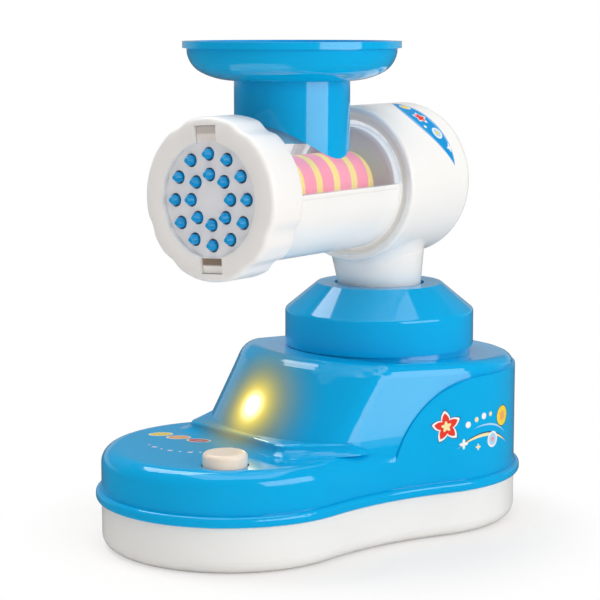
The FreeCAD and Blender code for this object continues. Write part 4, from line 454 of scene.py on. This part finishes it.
# The lamp in the tower's slope is a 5 mm round-nosed LED, cast in clear resin and lit warm white.
lamp_glow = Finish("lamp_glow", (1.0, 0.93, 0.7), 0.1, Emission_Strength=5.0, Coat_Weight=0.3)
core = lamp_glow.spread(lamp_glow.noise(900, 1), 0.3, 0.7)
lamp_glow.set("Emission Color", lamp_glow.mix(core, (1.0, 0.93, 0.66), (1.0, 0.97, 0.80)))
lamp_glow.on("led_lamp")
beam = bpy.data.lights.new("lamp_light", "POINT")
beam.energy = 0.0003
beam.color = (1.0, 0.78, 0.35)
beam.shadow_soft_size = 2 * MM
beam_holder = bpy.data.objects.new("lamp_light", beam)
beam_holder.location = lamp_middle + Vector((0, -5, 1.5)) * MM
beam_holder.visible_glossy = False
bpy.context.scene.collection.objects.link(beam_holder)


# The collar is a blue bell round the neck. It turns with the head, on a hub through the platform.
# The hopper is moulded in the same blue, bowl and chute in one.
plain_blue = moulded("plain_blue", BLUE, 0.09, orange_peel=0.006 * MM, tint=0.03, Coat_Weight=0.2,
                     Coat_Roughness=0.03)
plain_blue.on("swivel_collar", "hopper")


# The head is moulded in warm white: motor drum with its neck, rear cap, and the barrel's lower
# half. The near side of the drum carries a blue printed sash with plain spots.
HEAD_TURN = math.radians(15.6)
AXIS_HEIGHT = 106.4
WHITE = (0.91, 0.905, 0.89)


def head_axes(kit):
    """Along the barrel, to its near side, up, and the angle from the top, in the head's own directions."""
    x, y, z = kit.axes()
    forward = x * math.sin(HEAD_TURN) - y * math.cos(HEAD_TURN)
    near = x * math.cos(HEAD_TURN) + y * math.sin(HEAD_TURN)
    above = z - AXIS_HEIGHT * MM
    return forward, near, above, kit.maths("ARCTAN2", near, above)


head_white = moulded("head_white", WHITE, 0.2, orange_peel=0.004 * MM, tint=0.012)
forward, near, above, angle = head_axes(head_white)
DRUM_RADIUS = 23.8
down = angle * (DRUM_RADIUS * MM)
share = head_white.spread(down, 1.0 * MM, 33.5 * MM)
bend = head_white.maths("SINE", share * 4.2) * (3.0 * MM)
half = head_white.maths("SINE", (share ** 0.8) * math.pi)
offset = head_white.maths("ABSOLUTE", forward + 4.6 * MM - bend)
outer = (near * near + above * above) ** 0.5
on_drum = head_white.spread(outer, 23.2 * MM, 23.4 * MM)
sash_art = [
    (head_white.spread(offset - half * (5.6 * MM), -0.6 * MM, -0.45 * MM, 1, 0), "blue"),
    (head_white.spread(offset - half * (5.1 * MM), -0.6 * MM, -0.45 * MM, 1, 0), "pale blue"),
    (head_white.spread(offset - half * (4.7 * MM), -0.6 * MM, -0.45 * MM, 1, 0), "blue"),
    (oval(head_white, forward, down, (-3.4, 7.0), (1.9, 1.9)), "white"),
    (oval(head_white, forward, down, (-3.4, 7.0), (1.4, 1.4)), "yellow"),
    (star(head_white, forward, down, (-2.4, 14.0), 2.9, 5, 0.5, 20), "white"),
    (star(head_white, forward, down, (-2.4, 14.0), 2.2, 5, 0.5, 20), "red"),
    (oval(head_white, forward, down, (-4.2, 21.0), (2.1, 2.1)), "white"),
    (oval(head_white, forward, down, (-4.2, 21.0), (1.5, 1.5)), "pale blue"),
    (oval(head_white, forward, down, (-4.2, 21.0), (0.7, 0.7)), "yellow"),
    (star(head_white, forward, down, (-6.8, 26.4), 1.5, 4, 0.35), "white"),
    (oval(head_white, forward, down, (-0.4, 18.2), (0.6, 0.6)), "white"),
    (oval(head_white, forward, down, (-7.4, 16.4), (0.7, 0.7)), "white"),
]
print_color = head_white.color
for cover, ink in sash_art:
    print_color = head_white.mix(cover * on_drum, print_color, INK[ink])
head_white.set("Base Color", print_color)
head_white.on("motor_housing")
cap_white = moulded("cap_white", WHITE, 0.2, orange_peel=0.004 * MM, tint=0.012)
cap_white.on("rear_cap")


# The lower half of the barrel is a white trough in one piece with the gear plate. Seen through the
# window, its inside and the plate's face are painted a cool grey for shade, a thin painted shadow
# line runs under its rim, and a painted glow lights the thin gap at the plate's rim.
trough_white = moulded("trough_white", WHITE, 0.2, orange_peel=0.004 * MM, tint=0.012)
forward, near, above, _ = head_axes(trough_white)
outer = (near * near + above * above) ** 0.5
BORE_RADIUS = 18.15
PLATE_FACE = 17.6
# Painted shade: the inside is a cool grey, bluer towards the top.
inside = trough_white.spread(outer, (BORE_RADIUS - 0.15) * MM, (BORE_RADIUS + 0.15) * MM, 1, 0)
upward = trough_white.spread(above, -4 * MM, 16 * MM)
shaded = trough_white.mix(upward, (0.66, 0.70, 0.72), (0.57, 0.66, 0.75))
# Painted shadow: a thin darker line just under the rim.
from_rim = trough_white.maths("ABSOLUTE", above + 0.3 * MM)
rim_shadow_line = trough_white.spread(from_rim, 0.1 * MM, 0.3 * MM, 0.14, 0)
rim_shadow_line = rim_shadow_line * (outer > 19.5 * MM) * (forward > 20 * MM)
outside = trough_white.mix(rim_shadow_line, trough_white.color, (0.35, 0.34, 0.32))
trough_white.set("Base Color", trough_white.mix(inside, outside, shaded))
# Painted light: a faint glow in the gap at the plate's rim.
gap = (forward < PLATE_FACE * MM) * (outer > 17.5 * MM)
trough_white.set("Emission Color", trough_white.mix(gap, (0, 0, 0), (0.30, 0.30, 0.31)))
trough_white.set("Emission Strength", 1.0)
trough_white.on("barrel_lower")


# The rim round the drum's mouth, in which the barrel sits, is moulded with the drum and rounded.
# A faint painted glow in its own colour lightens the shade that falls on it there.
AHEAD = Vector((math.sin(HEAD_TURN), -math.cos(HEAD_TURN), 0))
NEAR = Vector((math.cos(HEAD_TURN), math.sin(HEAD_TURN), 0))
ON_AXIS = (Matrix.Translation((0, 0, AXIS_HEIGHT * MM))
           @ Matrix((NEAR, (0, 0, 1), AHEAD)).transposed().to_4x4())


def spun(profile, steps):
    """A profile of (radius, place along the axis) in millimetres, turned round the barrel's axis."""
    shape = bmesh.new()
    line = [shape.verts.new((0, radius * MM, along * MM)) for radius, along in profile]
    edges = [shape.edges.new(pair) for pair in zip(line, line[1:])]
    bmesh.ops.spin(shape, geom=line + edges, cent=(0, 0, 0), axis=(0, 0, 1), angle=math.tau, steps=steps,
                   use_merge=True)
    return shape


seat = spun([(19.6, 17.3), (19.75, 16.5), (20.1, 15.85), (20.6, 15.5), (21.1, 15.45), (21.5, 15.75),
             (21.82, 16.4)], 128)
bmesh.ops.recalc_face_normals(seat, faces=seat.faces)
if sum(face.normal.z for face in seat.faces) < 0:
    bmesh.ops.reverse_faces(seat, faces=seat.faces)
bmesh.ops.transform(seat, matrix=ON_AXIS, verts=seat.verts)
barrel_seat = new_piece("barrel_seat", seat, 60)
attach(barrel_seat, "head")
seat_white = moulded("seat_white", (0.86, 0.84, 0.81), 0.3, orange_peel=0.003 * MM, tint=0.012)
# Painted light: a faint glow in its own colour.
seat_white.set("Emission Color", seat_white.color)
seat_white.set("Emission Strength", 0.10)
seat_white.on("barrel_seat")


# The neck runs into the drum in a hollow rounding, moulded in one piece with both. It is wide under
# the barrel and tight at the back. Places are in millimetres: near side, height, and forward.
blend = bmesh.new()
LEVELS = 8
ROUND_THE_NECK = 96
NECK_RADIUS = 14.55
NECK_FOOT_RADIUS = 13.05
NECK_FORWARD = 1.3
MEETS_DRUM = DRUM_RADIUS - 0.05
rings = []
for level in range(LEVELS + 1):
    share = level / LEVELS
    ring = []
    for step in range(ROUND_THE_NECK):
        turn = math.tau * step / ROUND_THE_NECK
        front = min(1.0, max(0.0, math.cos(turn) + 0.5))
        size = 1.2 + 2.85 * front * front * (3 - 2 * front)
        across = NECK_RADIUS * math.sin(turn)
        corner = Vector((across, AXIS_HEIGHT - math.sqrt(MEETS_DRUM ** 2 - across ** 2),
                         NECK_FORWARD + NECK_RADIUS * math.cos(turn)))
        low = corner.y - 1.0 - size
        taper = min(1.0, max(0.0, (low - 74.0) / 10.0))
        narrow = NECK_FOOT_RADIUS + (NECK_RADIUS - NECK_FOOT_RADIUS) * taper
        start = Vector((narrow * math.sin(turn), low, NECK_FORWARD * taper + narrow * math.cos(turn)))
        reach = (NECK_RADIUS + size) * math.sin(turn)
        forward_end = min(16.9, max(-13.0, NECK_FORWARD + (NECK_RADIUS + size) * math.cos(turn)))
        end = Vector((reach, AXIS_HEIGHT - math.sqrt(MEETS_DRUM ** 2 - reach ** 2), forward_end))
        spot = start * (1 - share) ** 2 + corner * 2 * share * (1 - share) + end * share ** 2
        ring.append(blend.verts.new((spot.x * MM, (spot.y - AXIS_HEIGHT) * MM, spot.z * MM)))
    rings.append([blend.edges.new((ring[step - 1], ring[step])) for step in range(ROUND_THE_NECK)])
for lower, upper in zip(rings, rings[1:]):
    bmesh.ops.bridge_loops(blend, edges=lower + upper)
bmesh.ops.recalc_face_normals(blend, faces=blend.faces)
if sum(face.normal.y for face in blend.faces) > 0:
    bmesh.ops.reverse_faces(blend, faces=blend.faces)
bmesh.ops.transform(blend, matrix=ON_AXIS, verts=blend.verts)
neck_rounding = new_piece("neck_rounding", blend, 80)
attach(neck_rounding, "head")
cap_white.on("neck_rounding")


# The window is the clear upper half of the barrel, moulded in polystyrene: a little hazy from
# handling, and more so where it is seen at a slant. It throws no shadow on the auger.
window_clear = Finish("window_clear", (0.86, 0.89, 0.92), 0.05, IOR=1.49)
grazing = window_clear.node("ShaderNodeLayerWeight", None, 0.35)[1]
haze = window_clear.spread(window_clear.noise(70, 3), 0.3, 0.7, 0.04, 0.08)
haze = haze + grazing * 0.14
window_clear.set("Alpha", window_clear.maths("MINIMUM", haze, 0.8))
window_clear.set("Roughness", window_clear.spread(window_clear.noise(240, 2), 0.3, 0.7, 0.04, 0.09))
window_clear.bump(window_clear.noise(200, 2), 0.01 * MM)
window_clear.on("clear_window")
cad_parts["clear_window"].visible_shadow = False


# The auger is a pink drum with a yellow thread moulded flush round it, 8.8 mm from turn to turn.
# A faint painted glow in its own colours lightens it.
THREAD_PITCH = 8.8
THREAD_START = 17.64
THREAD_HALF_WIDTH = 1.56
auger_pink = moulded("auger_pink", (1.0, 0.25, 0.40), 0.3, tint=0.03)
forward, _, _, angle = head_axes(auger_pink)
turns = (forward - angle * (THREAD_PITCH * MM / math.tau) - THREAD_START * MM) / (THREAD_PITCH * MM)
from_thread = auger_pink.maths("PINGPONG", turns, 0.5) * (THREAD_PITCH * MM)
thread = auger_pink.spread(from_thread, (THREAD_HALF_WIDTH - 0.06) * MM,
                           (THREAD_HALF_WIDTH + 0.06) * MM, 1, 0)
banded = auger_pink.mix(thread, auger_pink.color, (0.95, 0.74, 0.18))
auger_pink.set("Base Color", banded)
# Painted light: a faint glow in the auger's own colours.
auger_pink.set("Emission Color", banded)
auger_pink.set("Emission Strength", 0.26)
auger_pink.bump(auger_pink.height + thread * (0.15 * MM), 1.0)
auger_pink.on("auger_drum")


# The ring nut is turned by hand, so six soft grooves run along it for the fingers. It is warm white,
# thick, rounded over its front, and two slots in its front flange hold the ears of the hole plate.
SLOT_TURN = math.radians(3.1)
RING_BORE = 19.9
GROOVES = (29.5, 112.0, 143.0)
GROOVE_HALF_WIDTH = 10.5
GROOVE_DEPTH = 1.05
nut = spun([(19.75, 84.1), (19.75, 71.7), (22.3, 71.7), (22.8, 71.9), (23.1, 72.3), (23.2, 72.9),
            (23.2, 83.8), (23.1, 84.4), (22.8, 84.9), (22.4, 85.25), (21.8, 85.5), (16.7, 85.5),
            (16.5, 85.4), (16.4, 85.2), (16.4, 84.1), (19.75, 84.1)], 288)
for vert in nut.verts:
    radius = math.hypot(vert.co.x, vert.co.y)
    if radius > RING_BORE * MM:
        angle = math.degrees(math.atan2(vert.co.x, vert.co.y))
        depth = 0.0
        for groove in GROOVES:
            away = abs(abs(angle) - groove) / GROOVE_HALF_WIDTH
            depth += GROOVE_DEPTH * MM * math.cos(away * math.pi / 2) ** 2 if away < 1 else 0.0
        depth *= min(1.0, (radius - RING_BORE * MM) / (2.0 * MM))
        depth *= 1.0 - 0.45 * min(1.0, max(0.0, (vert.co.z - 79 * MM) / (6 * MM)))
        vert.co.xy *= (radius - depth) / radius
bmesh.ops.remove_doubles(nut, verts=nut.verts, dist=0.001 * MM)
bmesh.ops.recalc_face_normals(nut, faces=nut.faces)
grip_ring = new_piece("grip_ring", nut, 50)
slot_tool = bmesh.new()
bmesh.ops.create_cube(slot_tool, size=1.0, matrix=Matrix.Rotation(SLOT_TURN, 4, "Z")
                      @ Matrix.Translation((0, 0, 85.0 * MM))
                      @ Matrix.Diagonal((7.9 * MM, 41.6 * MM, 2.2 * MM, 1)))
slot_cutter = new_piece("slot_cutter", slot_tool)
cutting = grip_ring.modifiers.new("slots", "BOOLEAN")
cutting.object = slot_cutter
cutting.operation = "DIFFERENCE"
cutting.solver = "EXACT"
bpy.context.view_layer.update()
cut_mesh = bpy.data.meshes.new_from_object(grip_ring.evaluated_get(bpy.context.evaluated_depsgraph_get()))
grip_ring.modifiers.clear()
grip_ring.data = cut_mesh
cut_mesh.transform(ON_AXIS)
bpy.data.objects.remove(slot_cutter)
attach(grip_ring, "ring")
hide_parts("ring_nut")
ring_white = moulded("ring_white", (0.90, 0.89, 0.875), 0.34, orange_peel=0.002 * MM, tint=0.01)
ring_white.on("grip_ring")


# The hole plate is thinner and cooler than the ring. Its ears lie deep in the ring's slots, and
# the slots' shade is painted into their colour. Twenty pegs of the blue plate behind it stand in its
# holes.
plate_white = moulded("plate_white", (0.90, 0.90, 0.93), 0.24, orange_peel=0.003 * MM, tint=0.012)
_, near, above, _ = head_axes(plate_white)
up_slot = above * math.cos(SLOT_TURN) - near * math.sin(SLOT_TURN)
beyond = plate_white.maths("ABSOLUTE", up_slot)
ear = plate_white.spread(beyond, 16.3 * MM, 16.5 * MM)
is_top = up_slot > 0
# Painted shade on the ears: the lower ear dark at its inner end, the upper ear darker at its outer end.
outward = plate_white.spread(beyond, 18.2 * MM, 18.7 * MM)
top_shade = plate_white.mix(outward, (0.90, 0.84, 0.81), (0.66, 0.60, 0.57))
low_shade = plate_white.mix(outward, (0.28, 0.21, 0.16), (0.95, 0.93, 0.90))
ear_shade = plate_white.mix(is_top, low_shade, top_shade)
plate_white.set("Base Color", plate_white.mix(ear, plate_white.color, ear_shade))
plate_white.on("hole_plate")
peg_blue = moulded("peg_blue", (0.0, 0.33, 0.72), 0.25, orange_peel=0.01 * MM)
peg_blue.on("peg_plate")


# Inside are plated steel screws, springs, contacts, shafts and the motor's can, gears of pale
# acetal, a bronze bush, the lamp's green circuit board, a black switch and two sleeved cells.
steel = moulded("steel", (0.62, 0.62, 0.63), 0.3, Metallic=1.0)
steel.on("battery_door_screw", "base_screws", "contact_plates", "contact_springs", "board_screws",
         "button_spring", "pressed_spring", "retainer_screws", "housing_screws", "motor", "motor_screws",
         "idler_axle", "auger_shaft")
gear_white = moulded("gear_white", (0.8, 0.78, 0.7), 0.4)
gear_white.on("swivel_retainer", "motor_pinion", "idler_gear", "drive_gear")
bush_bronze = moulded("bush_bronze", (0.5, 0.3, 0.12), 0.35, Metallic=1.0)
bush_bronze.on("shaft_bush")
board_green = moulded("board_green", (0.02, 0.14, 0.05), 0.35)
board_green.on("circuit_board")
switch_black = moulded("switch_black", (0.02, 0.02, 0.02), 0.4)
switch_black.on("switch")
cell_sleeve = moulded("cell_sleeve", (0.03, 0.03, 0.035), 0.3, Metallic=0.4)
cell_sleeve.on("battery_cell_1", "battery_cell_2")
